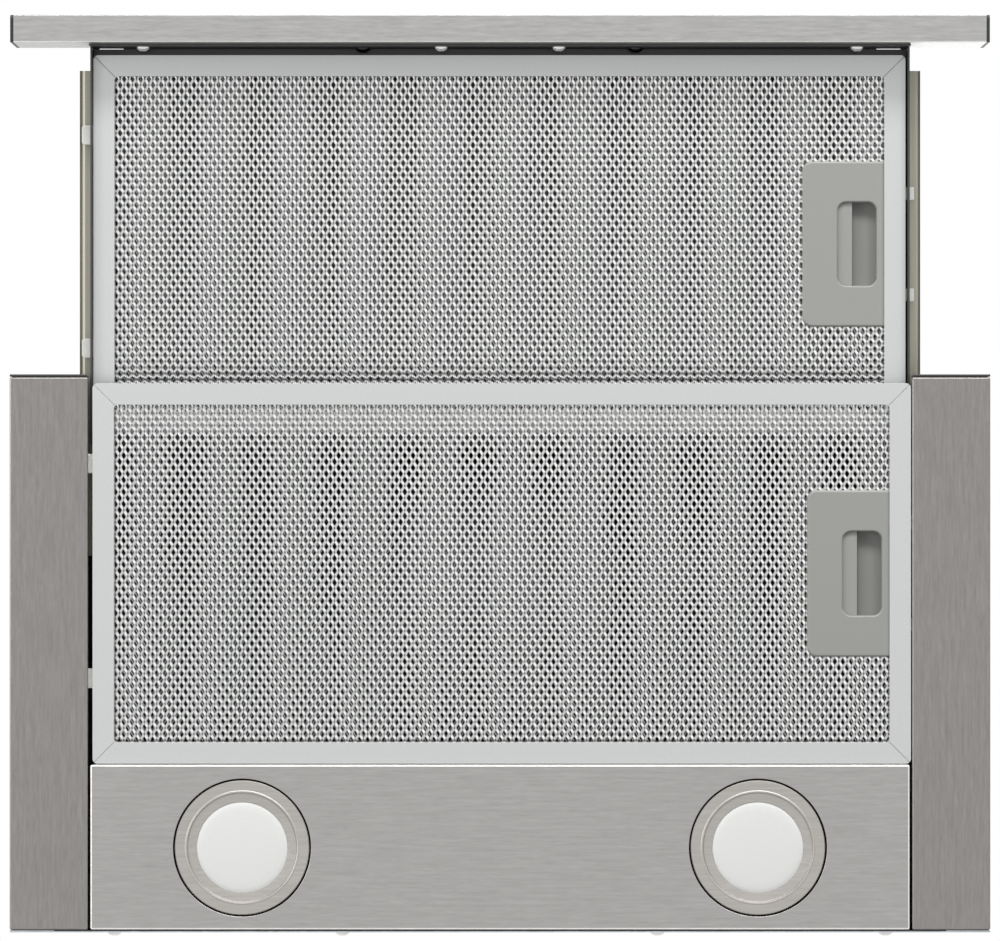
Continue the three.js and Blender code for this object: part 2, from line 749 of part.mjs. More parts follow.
function drawerTray() {
  const inner = trayHalf - sheet;
  const rear = fasciaRear + trayDepth;
  const filterFront = fasciaRear + drawerFilterSetback;
  const web = block([-trayHalf, trayHalf], [fasciaRear, rear], [webBottom, webBottom + sheet]);
  const window = block(
    [-inner + traySeatOverlap, inner - traySeatOverlap],
    [filterFront + traySeatOverlap, filterFront + filterDepth - traySeatOverlap],
    [webBottom - 1, webBottom + 2],
  );
  const flange = block(
    [-trayHalf, trayHalf],
    [fasciaRear, fasciaRear + sheet],
    [trayFlangeBottom, webBottom + sheet],
  );
  const wallZ = [trayWallBottom, trayTop];
  const walls = [
    block([-trayHalf, -inner], [fasciaRear, rear], wallZ),
    block([inner, trayHalf], [fasciaRear, rear], wallZ),
  ];
  const cornerSlots = [-1, 1].map((side) =>
    block(
      [side * cornerSlotPlace - cornerSlotLength / 2, side * cornerSlotPlace + cornerSlotLength / 2],
      [fasciaRear - 1, fasciaRear + cornerSlotDepth],
      [webBottom - 1, webBottom + 2],
    ),
  );
  const screwHoles = trayScrewPlaces.map((place) =>
    rod("y", [trayScrewHeight, place], screwShankRadius + gap, [fasciaRear - 1, fasciaRear + 3], 8),
  );
  const tabCuts = lockSlots(drawerFilterPlace, -1).map(({ y, z }) => block([-trayHalf - 1, -inner + 1], y, z));
  const tongueCuts = lockSlots(drawerFilterPlace, 1).map(({ y, z }) => block([inner - 1, trayHalf + 1], y, z));
  return build(
    [web, flange, ...walls],
    [window, ...cornerSlots, ...screwHoles, ...tabCuts, ...tongueCuts],
  );
}

function drawerCover() {
  const inner = trayHalf - sheet - gap;
  const front = fasciaRear + coverSetback;
  const plate = block([-trayHalf, trayHalf], [front, fasciaRear + trayDepth], [trayTop, trayTop + sheet]);
  const lip = block([-inner, inner], [front, front + sheet], [webBottom + sheet + gap, trayTop + sheet]);
  return build([plate, lip]);
}

function fasciaOutline(inset) {
  const radius = Math.max(fasciaRadius - inset, 0.4);
  return roundedRectangle(
    [fasciaFront + inset, fasciaRear - inset],
    [inset, fasciaHeight - inset],
    [radius, 0, 0, radius],
  );
}

const buttonMiddle = fasciaHeight / 2;

function buttonPlace(index) {
  return buttonRowPlace + (index - (buttonCount - 1) / 2) * buttonPitch;
}

function fascia() {
  const half = fasciaWidth / 2 - capThickness;
  const skin = prism(fasciaOutline(0), "x", [-half, half]);
  const hollow = prism(fasciaOutline(fasciaWall), "x", [-half - 1, half + 1]);
  const buttonHoles = Array.from({ length: buttonCount }, (_, index) =>
    block(
      [buttonPlace(index) - buttonWidth / 2 - gap, buttonPlace(index) + buttonWidth / 2 + gap],
      [fasciaFront - 1, fasciaFront + fasciaWall + 1],
      [buttonMiddle - buttonHeight / 2 - gap, buttonMiddle + buttonHeight / 2 + gap],
    ),
  );
  const screwHoles = trayScrewPlaces.map((place) =>
    rod("y", [trayScrewHeight, place], screwShankRadius + gap, [fasciaRear - 3, fasciaRear + 1], 8),
  );
  return build([skin], [hollow, ...buttonHoles, ...screwHoles]);
}

function endCap() {
  const outer = fasciaWidth / 2;
  const plate = prism(fasciaOutline(0), "x", [outer - capThickness, outer]);
  const plug = prism(fasciaOutline(fasciaWall + gap), "x", [
    outer - capThickness - capPlugDepth,
    outer - capThickness / 2,
  ]);
  const plugHollow = prism(fasciaOutline(fasciaWall + gap + 1.5), "x", [
    outer - capThickness - capPlugDepth - 1,
    outer - capThickness,
  ]);
  return build([build([plug], [plugHollow]), plate]);
}

const switchFront = fasciaRear - fasciaWall - gap - switchDepth;

function switchModule() {
  const half = (buttonCount * buttonPitch) / 2;
  const housing = block(
    [buttonRowPlace - half, buttonRowPlace + half],
    [switchFront, switchFront + switchDepth],
    [buttonMiddle - switchHeight / 2, buttonMiddle + switchHeight / 2],
  );
  const stemHoles = Array.from({ length: buttonCount }, (_, index) =>
    rod("y", [buttonMiddle, buttonPlace(index)], 2 + gap, [switchFront - 1, switchFront + 5.5], 12),
  );
  return build([housing], stemHoles);
}

function button(index) {
  const x = buttonPlace(index);
  const rimFront = fasciaFront + fasciaWall + gap;
  const cap = block(
    [x - buttonWidth / 2, x + buttonWidth / 2],
    [fasciaFront + 0.2, rimFront + 0.6],
    [buttonMiddle - buttonHeight / 2, buttonMiddle + buttonHeight / 2],
  );
  const rim = block(
    [x - buttonWidth / 2 - buttonRim, x + buttonWidth / 2 + buttonRim],
    [rimFront, rimFront + 0.6],
    [buttonMiddle - buttonHeight / 2 - buttonRim, buttonMiddle + buttonHeight / 2 + buttonRim],
  );
  const stem = rod("y", [buttonMiddle, x], 2, [rimFront + 0.3, switchFront + 2.5], 12);
  return build([cap, rim, stem]);
}

// ---------------------------------------------------------------- ball slides

function channelSection(outerU, innerU, halfHeight, thickness, open) {
  const web = open > 0 ? innerU + thickness : outerU - thickness;
  const tips = open > 0 ? outerU : innerU;
  const back = open > 0 ? innerU : outerU;
  return outline([
    [slideMiddle - halfHeight, back],
    [slideMiddle - halfHeight, tips],
    [slideMiddle - halfHeight + thickness, tips],
    [slideMiddle - halfHeight + thickness, web],
    [slideMiddle + halfHeight - thickness, web],
    [slideMiddle + halfHeight - thickness, tips],
    [slideMiddle + halfHeight, tips],
    [slideMiddle + halfHeight, back],
  ]);
}

const innerHalfHeight = slideHeight / 2 - slideSheet - (ballRadius + ballPlay) * 2;
const innerFace = trayHalf + gap;

function slideInner() {
  const start = fasciaRear + slideSetback;
  const section = channelSection(innerFace + innerMemberWidth, innerFace, innerHalfHeight, slideSheet, 1);
  return prismAlongY(section, [start, start + slideLength]);
}

function slideOuter() {
  const start = bodyFront + chassisInset;
  const outer = bracketFace - gap;
  const section = channelSection(outer, outer - outerMemberWidth, slideHeight / 2, slideSheet, -1);
  return prismAlongY(section, [start, start + slideLength]);
}

function prismAlongY(section, range) {
  return build([prism(section, "y", range)]);
}

/** Folded strip between the two members, carrying the balls of both raceways. */
function ballCage() {
  const start = bodyFront + chassisInset + cageSetback;
  const length = (ballCount - 1) * ballPitch + cageEnd * 2;
  const ballZ = slideHeight / 2 - slideSheet - ballRadius - ballPlay;
  const ballU = bracketFace - gap - outerMemberWidth + ballRadius + ballInset;
  const backU = innerFace + innerMemberWidth + gap * 2;
  const back = block(
    [backU, backU + cageSheet],
    [start, start + length],
    [slideMiddle - ballZ - cageSheet / 2, slideMiddle + ballZ + cageSheet / 2],
  );
  const pieces = [back];
  for (const side of [-1, 1]) {
    const z = slideMiddle + side * ballZ;
    const leg = [z - cageSheet / 2, z + cageSheet / 2];
    pieces.push(block([ballU - cageLip, backU + cageSheet / 2], [start, start + length], leg));
    for (let index = 0; index < ballCount; index += 1) {
      const ball = new THREE.SphereGeometry(ballRadius, 6, 4);
      pieces.push(ball.translate(ballU, start + cageEnd + index * ballPitch, z));
    }
  }
  return build(pieces);
}

// ---------------------------------------------------------------- blower

/** Spiral from the cut-off round to the discharge, then straight up to the top. */
function scrollOutline(inset, top) {
  const points = [];
  const steps = 28;
  const sweep = Math.PI * 2 - scrollCutoff;
  for (let step = 0; step <= steps; step += 1) {
    const angle = scrollCutoff + (sweep * step) / steps;
    const radius = scrollStart + (scrollGrowth * step) / steps + inset;
    points.push([fanY + radius * Math.cos(angle), fanZ + radius * Math.sin(angle)]);
  }
  points.push([fanY + scrollEnd + inset, top]);
  points.push([fanY + outletFront - inset, top]);
  return outline(points);
}

function scrollHousing() {
  const half = scrollHalf;
  const outside = prism(scrollOutline(scrollWall, scrollTop), "x", [-half, half]);
  const inside = prism(scrollOutline(0, scrollTop + 5), "x", [-half + scrollWall, half - scrollWall]);
  const inlet = rod("x", [fanY, fanZ], inletRadius, [-half - 1, half + 1], 24);
  const flange = block(
    [-half - scrollFlange, half + scrollFlange],
    [fanY + outletFront - scrollFlange, fanY + scrollEnd + scrollFlange],
    [scrollTop - scrollFlangeSheet, scrollTop],
  );
  const flangeHole = block(
    [-half + scrollWall, half - scrollWall],
    [fanY + outletFront, fanY + scrollEnd],
    [scrollTop - scrollFlangeSheet - 1, scrollTop + 1],
  );
  return build([outside, flange], [inside, inlet, flangeHole]);
}

/** Double-inlet wheel: forward-curved blades on both sides of a middle disc, with hub and shaft. */
function fanWheel() {
  const half = fanWidth / 2;
  const disc = rod("x", [fanY, fanZ], fanRadius, [-fanDisc / 2, fanDisc / 2], 30);
  const hub = rod("x", [fanY, fanZ], fanHubRadius, [-fanHubLength / 2, fanHubLength / 2], 12);
  const shaft = rod("x", [fanY, fanZ], shaftRadius, [-fanHubLength * 0.6, bracketEnd + motorLength * 0.7], 10);
  const rings = [-1, 1].map((side) => {
    const place = [side * half, side * (half - fanRing)].sort((a, b) => a - b);
    const ring = rod("x", [fanY, fanZ], fanRadius, place, 30);
    const bore = rod("x", [fanY, fanZ], fanRadius - fanBladeDepth * 0.55, [place[0] - 1, place[1] + 1], 30);
    return build([ring], [bore]);
  });
  const arcSteps = 2;
  const bladeOutline = () => {
    const outer = [];
    const inner = [];
    for (let step = 0; step <= arcSteps; step += 1) {
      const share = step / arcSteps;
      const radius = fanRadius - 0.4 - fanBladeDepth * (1 - share);
      const lean = 0.02 + 0.16 * share * share;
      const thick = fanBladeSheet / radius;
      outer.push([radius * Math.cos(lean), radius * Math.sin(lean)]);
      inner.unshift([radius * Math.cos(lean + thick), radius * Math.sin(lean + thick)]);
    }
    return outline([...outer, ...inner]);
  };
  const blades = Array.from({ length: fanBladeCount }, (_, index) => {
    const blade = new THREE.ExtrudeGeometry(bladeOutline(), { depth: fanWidth - 2, bevelEnabled: false });
    blade.translate(0, 0, -half + 1);
    blade.rotateZ((index * Math.PI * 2) / fanBladeCount);
    return along(blade, "x").translate(0, fanY, fanZ);
  });
  return build([disc, hub, shaft, ...rings, ...blades]);
}

/** Three-legged bracket that holds the motor in front of one inlet. */
function motorBracket() {
  const ringX = [scrollHalf + gap, scrollHalf + gap + bracketSheet];
  const ringRadius = inletRadius + motorRing;
  const ring = build(
    [rod("x", [fanY, fanZ], ringRadius, ringX, 24)],
    [rod("x", [fanY, fanZ], inletRadius + 0.5, [ringX[0] - 1, ringX[1] + 1], 24)],
  );
  const plateX = [bracketEnd - bracketSheet, bracketEnd];
  const plate = build(
    [rod("x", [fanY, fanZ], ringRadius - 4, plateX, 24)],
    [rod("x", [fanY, fanZ], shaftRadius + 6, [plateX[0] - 1, plateX[1] + 1], 12)],
  );
  const legs = [0, 1, 2].map((index) => {
    const leg = new THREE.BoxGeometry(motorLeg / 3, motorLeg, plateX[1] - ringX[0]);
    leg.translate(ringRadius - 5.6, 0, (ringX[0] + plateX[1]) / 2);
    leg.rotateZ(((index + 0.25) * Math.PI * 2) / 3);
    return along(leg, "x").translate(0, fanY, fanZ);
  });
  return build([ring, plate, ...legs]);
}

function motor() {
  const length = motorLength;
  const can = revolve([
    [0, 0],
    [motorRadius - 4, 0],
    [motorRadius - 2, 2],
    [motorRadius - 2, length * 0.3],
    [motorRadius, length * 0.3],
    [motorRadius, length * 0.72],
    [motorRadius - 2, length * 0.72],
    [motorRadius - 2, length - 3],
    [motorRadius - 6, length],
    [0, length],
  ], 22);
  const bore = rod("z", [0, 0], shaftRadius + gap, [-1, length * 0.72], 10);
  return along(build([can], [bore]), "x").translate(bracketEnd + gap, fanY, fanZ);
}

// ---------------------------------------------------------------- outlet

function outletCollar() {
  const inner = collarRadius - collarWall;
  const bead = collarRadius + 1.2;
  const stopTop = flapHeight - flapSheet / 2 - gap;
  const ring = revolve([
    [inner, 0],
    [collarRadius + collarFlange, 0],
    [collarRadius + collarFlange, 2],
    [collarRadius, 2.6],
    [collarRadius, collarHeight - 6],
    [bead, collarHeight - 5],
    [collarRadius, collarHeight - 4],
    [collarRadius, collarHeight],
    [inner, collarHeight],
    [inner, stopTop],
    [inner - flapStop, stopTop - 0.6],
    [inner - flapStop, stopTop - 1.8],
    [inner, stopTop - 3],
    [inner, 0],
  ], 28);
  const pinHoles = [-1, 1].map((side) =>
    rod("x", [side * flapOffset, flapHeight], flapPinRadius + gap, [-collarRadius - 3, collarRadius + 3], 10),
  );
  return build([ring], pinHoles).translate(0, outletY, bodyHeight);
}

/** Half-round flap with its hinge barrel and pins; side is -1 for the front one. */
function outletFlap(side) {
  const radius = collarRadius - collarWall - 1.5;
  const disc = rod("z", [0, 0], radius, [-flapSheet / 2, flapSheet / 2], 28);
  const wide = radius + 5;
  const otherY = [side * flapOffset, -side * wide].sort((a, b) => a - b);
  const half = build([disc], [block([-wide, wide], otherY, [-3, 3])]);
  const barrelHalf = radius - 3;
  const barrel = rod("x", [side * flapOffset, 0], flapBarrelRadius, [-barrelHalf, barrelHalf], 12);
  const pin = rod("x", [side * flapOffset, 0], flapPinRadius, [-collarRadius, collarRadius], 10);
  return build([half, barrel, pin]).translate(0, outletY, flapZ);
}

// ---------------------------------------------------------------- mains connection

const terminalX = chassisHalf - terminalMargin;
const terminalY = bodyFront + terminalSetback;

function terminalHousing() {
  const x = [terminalX - terminalBox.x / 2, terminalX + terminalBox.x / 2];
  const y = [terminalY, terminalY + terminalBox.y];
  const shape = roundedRectangle(x, y, [3, 3, 3, 3]);
  const base = prism(shape, "z", [bodyHeight, bodyHeight + terminalBox.z]);
  const seam = block(
    [x[0] - 1, x[1] + 1],
    [y[0] - 1, y[1] + 1],
    [bodyHeight + terminalBox.z * 0.6, bodyHeight + terminalBox.z * 0.6 + 0.8],
  );
  const core = block([x[0] + 0.8, x[1] - 0.8], [y[0] + 0.8, y[1] - 0.8], [bodyHeight, bodyHeight + terminalBox.z]);
  return build([build([base], [seam]), core]);
}

function cableGland() {
  const gland = revolve([
    [3.4, 0],
    [glandRadius, 0],
    [glandRadius, 4],
    [glandRadius - 1.5, 4.5],
    [glandRadius - 1.5, 7],
    [glandRadius, 7.5],
    [glandRadius, 12],
    [glandRadius - 3, glandLength],
    [3.4, glandLength],
    [3.4, 0],
  ], 14);
  const z = bodyHeight + terminalBox.z * 0.5;
  return along(gland, "y").translate(terminalX, terminalY + terminalBox.y, z);
}

// ---------------------------------------------------------------- assembly

const hood = new THREE.Group();
hood.name = "pull_out_range_hood";

function add(name, geometry, material, place = [0, 0, 0]) {
  const mesh = new THREE.Mesh(geometry, material);
  mesh.name = name;
  mesh.position.set(...place);
  hood.add(mesh);
}

function addPair(name, geometry, material) {
  add(`${name}_right`, geometry, material);
  add(`${name}_left`, mirrored(geometry), material);
}

add("chassis", chassis(), materials.greySteel);
add("top_cover", topCover(), materials.greySteel);
add("side_bracket_right", sideBracket(lockSlots(fixedFilterPlace, 1)), materials.blackSteel);
add("side_bracket_left", mirrored(sideBracket(lockSlots(fixedFilterPlace, -1))), materials.blackSteel);
addPair("side_trim", sideTrim(), materials.stainless);
add("lamp_panel", lampPanel(), materials.stainless);
for (const [name, side] of [["left", -1], ["right", 1]]) {
  const place = [(side * lampSpacing) / 2, lampPlaceY, 0];
  add(`lamp_bezel_${name}`, lampBezel(), materials.satinRing, place);
  add(`lamp_lens_${name}`, lampLens(), materials.frosted, place);
  add(`lamp_can_${name}`, lampCan(), materials.greySteel, place);
}
rearScrewPlaces.forEach((x, index) => {
  add(`rear_screw_${index + 1}`, rearFacingScrew(x, bodyRear, rearScrewHeight), materials.zinc);
});

for (const [name, place] of [["fixed_filter", fixedFilterPlace], ["drawer_filter", drawerFilterPlace]]) {
  add(`${name}_frame`, filterFrame(), materials.filterFrame, place);
  add(`${name}_mesh`, filterMesh(), materials.filterMesh, place);
  add(`${name}_handle`, filterHandle(), materials.greyPlastic, place);
  add(`${name}_latch`, filterLatch(), materials.whitePlastic, place);
  add(`${name}_tab_front`, filterTab(tabPlaces[0]), materials.whitePlastic, place);
  add(`${name}_tab_rear`, filterTab(tabPlaces[1]), materials.whitePlastic, place);
}

add("drawer_tray", drawerTray(), materials.blackSteel);
add("drawer_cover", drawerCover(), materials.blackSteel);
add("fascia", fascia(), materials.stainless);
addPair("end_cap", endCap(), materials.blackPlastic);
trayScrewPlaces.forEach((x, index) => {
  const screw = rearFacingScrew(x, fasciaRear + sheet, trayScrewHeight);
  add(`fascia_screw_${index + 1}`, screw, materials.zinc);
});
add("switch_module", switchModule(), materials.blackPlastic);
const buttonNames = ["button_off", "button_speed_1", "button_speed_2", "button_speed_3", "button_light"];
buttonNames.forEach((name, index) => add(name, button(index), materials.blackPlastic));

addPair("slide_outer", slideOuter(), materials.zinc);
addPair("slide_inner", slideInner(), materials.zinc);
addPair("ball_cage", ballCage(), materials.zinc);

add("scroll_housing", scrollHousing(), materials.greySteel);
add("fan_wheel", fanWheel(), materials.blackPlastic);
add("motor_bracket", motorBracket(), materials.greySteel);
add("motor", motor(), materials.greySteel);
add("outlet_collar", outletCollar(), materials.blackPlastic);
add("outlet_flap_front", outletFlap(-1), materials.blackPlastic);
add("outlet_flap_rear", outletFlap(1), materials.blackPlastic);
add("terminal_box", terminalHousing(), materials.blackPlastic);
add("cable_gland", cableGland(), materials.blackPlastic);

export default hood;
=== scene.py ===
import math

import bmesh
import bpy
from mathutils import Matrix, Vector


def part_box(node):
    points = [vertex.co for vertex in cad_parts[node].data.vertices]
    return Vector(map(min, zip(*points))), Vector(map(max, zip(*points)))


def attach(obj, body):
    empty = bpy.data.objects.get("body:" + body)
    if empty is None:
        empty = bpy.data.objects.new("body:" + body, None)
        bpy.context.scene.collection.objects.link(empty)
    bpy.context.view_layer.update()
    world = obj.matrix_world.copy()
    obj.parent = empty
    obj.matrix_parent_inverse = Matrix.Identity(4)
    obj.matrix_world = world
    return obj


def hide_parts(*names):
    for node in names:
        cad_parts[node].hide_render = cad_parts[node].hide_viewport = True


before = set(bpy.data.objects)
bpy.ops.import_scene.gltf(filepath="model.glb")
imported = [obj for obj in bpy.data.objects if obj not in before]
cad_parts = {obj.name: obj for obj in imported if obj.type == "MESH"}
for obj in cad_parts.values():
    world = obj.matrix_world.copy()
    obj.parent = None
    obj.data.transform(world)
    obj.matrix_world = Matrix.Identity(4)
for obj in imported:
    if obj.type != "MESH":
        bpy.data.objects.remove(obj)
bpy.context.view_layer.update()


# Studio: the hood is seen from straight below, its front edge at the top of the picture. The camera stands
# 2.6 m under the trims with a long lens, so the raised drawer looks only a little smaller than the body.
PHOTO_WIDTH = 1000
SENSOR = 36
PIXELS_PER_MM = 1.962
CAMERA_DISTANCE = 2.6
CAMERA_Y = -0.0027

camera_data = bpy.data.cameras.new("camera")
camera_data.sensor_width = SENSOR
camera_data.lens = SENSOR * CAMERA_DISTANCE * 1000 * PIXELS_PER_MM / PHOTO_WIDTH
camera_data.clip_end = 20
camera = bpy.data.objects.new("camera", camera_data)
camera.location = (0, CAMERA_Y, -CAMERA_DISTANCE)
camera.rotation_euler = (math.pi, 0, 0)
bpy.context.scene.collection.objects.link(camera)
bpy.context.scene.camera = camera
bpy.context.scene.view_settings.view_transform = "Standard"


def add_light(name, size, power, place, aim):
    data = bpy.data.lights.new(name, "AREA")
    data.shape = "RECTANGLE"
    data.size, data.size_y = size
    data.energy = power
    light = bpy.data.objects.new(name, data)
    light.location = place
    light.rotation_euler = (Vector(aim) - Vector(place)).to_track_quat("-Z", "Y").to_euler()
    bpy.context.scene.collection.objects.link(light)


add_light("key_front", (2.4, 0.5), 56, (0.2, -2.0, -1.12), (0, 0, 0))
add_light("glint_right", (0.6, 0.6), 9, (1.5, -1.4, -1.4), (0, 0, 0))
add_light("fill_left", (0.8, 0.8), 18, (-2.0, -0.3, -1.2), (0, 0, 0))
add_light("soft_above", (2.4, 2.4), 40, (0.4, -0.8, 2.4), (0, 0, 0.1))


def add_node(tree, kind, settings=None, links=None):
    """One node with its settings; links gives its inputs sockets of other nodes, or values."""
    node = tree.nodes.new(kind)
    for name, value in (settings or {}).items():
        setattr(node, name, value)
    for name, value in (links or {}).items():
        if isinstance(value, bpy.types.NodeSocket):
            tree.links.new(value, node.inputs[name])
        else:
            node.inputs[name].default_value = value
    return node


world = bpy.data.worlds.new("studio")
world.use_nodes = True
world.node_tree.nodes.clear()
bpy.context.scene.world = world
sky = world.node_tree
ray = add_node(sky, "ShaderNodeLightPath")
room = add_node(sky, "ShaderNodeBackground", links={"Color": (1, 1, 1, 1), "Strength": 0.3})
white = add_node(sky, "ShaderNodeBackground", links={"Color": (1, 1, 1, 1), "Strength": 1})
seen = add_node(sky, "ShaderNodeMath", {"operation": "MAXIMUM"},
                {0: ray.outputs["Is Camera Ray"], 1: ray.outputs["Is Transmission Ray"]})
mirrored = add_node(sky, "ShaderNodeMath", {"operation": "MAXIMUM"},
                    {0: seen.outputs[0], 1: ray.outputs["Is Glossy Ray"]})
either = add_node(sky, "ShaderNodeMixShader", links={0: mirrored.outputs[0], 1: room.outputs[0],
                                                     2: white.outputs[0]})
add_node(sky, "ShaderNodeOutputWorld", links={"Surface": either.outputs[0]})


# Floor: the pale plane that the hood stands on. It is clear from underneath, where the photograph's view is
# taken from, and only the camera sees it, so it neither lights nor shades the hood.
FLOOR_SIZE = 8


def linear(hex_colour):
    """sRGB hex to linear RGBA."""
    parts = [int(hex_colour[i:i + 2], 16) / 255 for i in (0, 2, 4)]
    return (*[p / 12.92 if p <= 0.04045 else ((p + 0.055) / 1.055) ** 2.4 for p in parts], 1)


bpy.ops.object.select_all(action="DESELECT")
bpy.ops.mesh.primitive_plane_add(size=FLOOR_SIZE, location=(0, 0, -0.0003))
floor = bpy.context.object
floor.name = "floor"
floor_paint = bpy.data.materials.new("pale_floor")
floor_paint.use_nodes = True
floor_paint.node_tree.nodes.clear()
surface = add_node(floor_paint.node_tree, "ShaderNodeNewGeometry")
matt = add_node(floor_paint.node_tree, "ShaderNodeBsdfDiffuse", links={"Color": linear("f2f2f0")})
clear = add_node(floor_paint.node_tree, "ShaderNodeBsdfTransparent")
sides = add_node(floor_paint.node_tree, "ShaderNodeMixShader",
                 links={0: surface.outputs["Backfacing"], 1: matt.outputs[0], 2: clear.outputs[0]})
add_node(floor_paint.node_tree, "ShaderNodeOutputMaterial", links={"Surface": sides.outputs[0]})
floor.data.materials.append(floor_paint)
floor.visible_diffuse = False
floor.visible_glossy = False
floor.visible_transmission = False
floor.visible_shadow = False


# Steel shell and top cover: hot-dip galvanised sheet, folded and spot welded. The zinc freezes in flat
# crystals a few millimetres wide, which give it a soft grey mottle. Inside, the shell is painted near-black as
# painted shade. Motor bracket, scroll and motor can are painted a dark, dull zinc grey: painted shade too.
SPANGLE = 0.005
COAT_MIDDLE = (0, 0.0915, 0.087)
COAT_REACH = (0.2274, 0.1406, 0.0904)
EDGE_ANGLE = math.radians(35)


def new_material(name, colour, metallic, roughness):
    """A principled material, its node tree, its shader and Object coordinates for its patterns."""
    material = bpy.data.materials.new(name)
    material.use_nodes = True
    nodes = material.node_tree
    nodes.nodes.clear()
    shader = add_node(nodes, "ShaderNodeBsdfPrincipled",
                      links={"Base Color": linear(colour), "Metallic": metallic, "Roughness": roughness})
    add_node(nodes, "ShaderNodeOutputMaterial", links={"Surface": shader.outputs[0]})
    place = add_node(nodes, "ShaderNodeTexCoord")
    return material, nodes, shader, place.outputs["Object"]


def tint(nodes, shader, factor, first, second):
    """Base colour between two shades by a factor."""
    mix = add_node(nodes, "ShaderNodeMix", {"data_type": "RGBA"},
                   {0: factor, 6: linear(first), 7: linear(second)})
    nodes.links.new(mix.outputs[2], shader.inputs["Base Color"])


def polish(nodes, shader, factor, low, high):
    """Roughness spread between two values by a factor."""
    span = add_node(nodes, "ShaderNodeMapRange", links={0: factor, 3: low, 4: high})
    nodes.links.new(span.outputs[0], shader.inputs["Roughness"])


def relief(nodes, shader, height, distance, strength):
    bump = add_node(nodes, "ShaderNodeBump", links={"Height": height, "Distance": distance,
                                                    "Strength": strength})
    nodes.links.new(bump.outputs[0], shader.inputs["Normal"])


def dress(name, material, radius):
    """Gives a CAD node its material, and rounds its edges as its tooling leaves them."""
    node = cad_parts[name]
    node.data.materials.clear()
    node.data.materials.append(material)
    weld = node.modifiers.new("weld", "WELD")
    weld.merge_threshold = 1e-6
    flat = node.modifiers.new("flat", "DECIMATE")
    flat.decimate_type = "DISSOLVE"
    flat.angle_limit = math.radians(0.5)
    edge = node.modifiers.new("edge", "BEVEL")
    edge.width = radius
    edge.segments = 2
    edge.limit_method = "ANGLE"
    edge.angle_limit = EDGE_ANGLE


def zinc_coated(name, colour, metallic, dark, light):
    """Sheet whose colour changes from one zinc crystal to the next; also gives the crystals' factor."""
    material, nodes, shader, where = new_material(name, colour, metallic, 0.6)
    crystals = add_node(nodes, "ShaderNodeTexVoronoi", links={"Vector": where, "Scale": 1 / SPANGLE})
    tint(nodes, shader, crystals.outputs["Color"], dark, light)
    return material, nodes, shader, where, crystals.outputs["Color"]


galvanised, nodes, shader, where, crystals = zinc_coated("galvanised_steel", "b4b7b9", 0.85, "a3a6a8", "b9bcbe")
polish(nodes, shader, crystals, 0.38, 0.6)
coated, nodes, shader, where, crystals = zinc_coated("galvanised_steel_coated_inside", "b4b7b9", 0.85,
                                                     "a3a6a8", "b9bcbe")
polish(nodes, shader, crystals, 0.38, 0.6)
# Near-black inside the shell's box, set by Object coordinates: painted shade.
coat = add_node(nodes, "ShaderNodeBsdfPrincipled", links={"Base Color": linear("1c1c1c"), "Roughness": 0.8})
from_middle = add_node(nodes, "ShaderNodeVectorMath", {"operation": "SUBTRACT"}, {0: where, 1: COAT_MIDDLE})
share_out = add_node(nodes, "ShaderNodeVectorMath", {"operation": "DIVIDE"},
                     {0: from_middle.outputs[0], 1: COAT_REACH})
reach = add_node(nodes, "ShaderNodeVectorMath", {"operation": "ABSOLUTE"}, {0: share_out.outputs[0]})
along = add_node(nodes, "ShaderNodeSeparateXYZ", links={0: reach.outputs[0]})
wide = add_node(nodes, "ShaderNodeMath", {"operation": "MAXIMUM"}, {0: along.outputs[0], 1: along.outputs[1]})
most = add_node(nodes, "ShaderNodeMath", {"operation": "MAXIMUM"}, {0: wide.outputs[0], 1: along.outputs[2]})
within = add_node(nodes, "ShaderNodeMath", {"operation": "LESS_THAN"}, {0: most.outputs[0], 1: 1})
two_faced = add_node(nodes, "ShaderNodeMixShader",
                     links={0: within.outputs[0], 1: shader.outputs[0], 2: coat.outputs[0]})
nodes.links.new(two_faced.outputs[0], nodes.nodes["Material Output"].inputs["Surface"])
for name in ("chassis", "top_cover"):
    dress(name, coated, 0.0003)
# Darker zinc grey for the blower parts deep inside the hood: painted shade.
pickled = zinc_coated("annealed_galvanised_steel", "5c5e60", 0.6, "4c4e50", "67696b")[0]
for name in ("motor_bracket", "scroll_housing"):
    dress(name, pickled, 0.0003)


# Side brackets, drawer tray and its cover: folded steel sheet with a semi-matt black powder coat, whose
# orange-peel skin breaks up its reflections.
ORANGE_PEEL = 0.0011

powder_black, nodes, shader, where = new_material("powder_coated_black_steel", "201f20", 0, 0.36)
peel = add_node(nodes, "ShaderNodeTexNoise", links={"Vector": where, "Scale": 1 / ORANGE_PEEL, "Detail": 2})
tint(nodes, shader, peel.outputs[0], "191819", "272526")
shader.inputs["Specular IOR Level"].default_value = 0.8
relief(nodes, shader, peel.outputs[0], 0.00006, 0.5)
for name, radius in (("side_bracket_left", 0.0002), ("side_bracket_right", 0.0002),
                     ("drawer_tray", 0.0006), ("drawer_cover", 0.0004)):
    dress(name, powder_black, radius)


# Side trims: 0.8 mm stainless sheet, brushed from front to back and folded up on all four sides, low beside
# the filters. The folds are drawn tight, so they are smoother than the brushed face and as dark. The grain
# is drawn 0.5 mm wide and 7 mm long, coarser than real, so that it shows at the photograph's size.
GRAIN_WIDTH = 0.0005
GRAIN_LENGTH = 0.007
BROAD_GRAIN = 0.3
TRIM_FOLD_RADIUS = 0.9
STEEL_SHEET = 0.8
HEM_WIDTH = 2.7
HEM_HEIGHT = 2
JOGGLE_WIDTH = 20
JOGGLE_HEIGHT = 12.7
FLAT = 0.995


def deselect():
    if bpy.context.object and bpy.context.object.mode != "OBJECT":
        bpy.ops.object.mode_set(mode="OBJECT")
    bpy.ops.object.select_all(action="DESELECT")


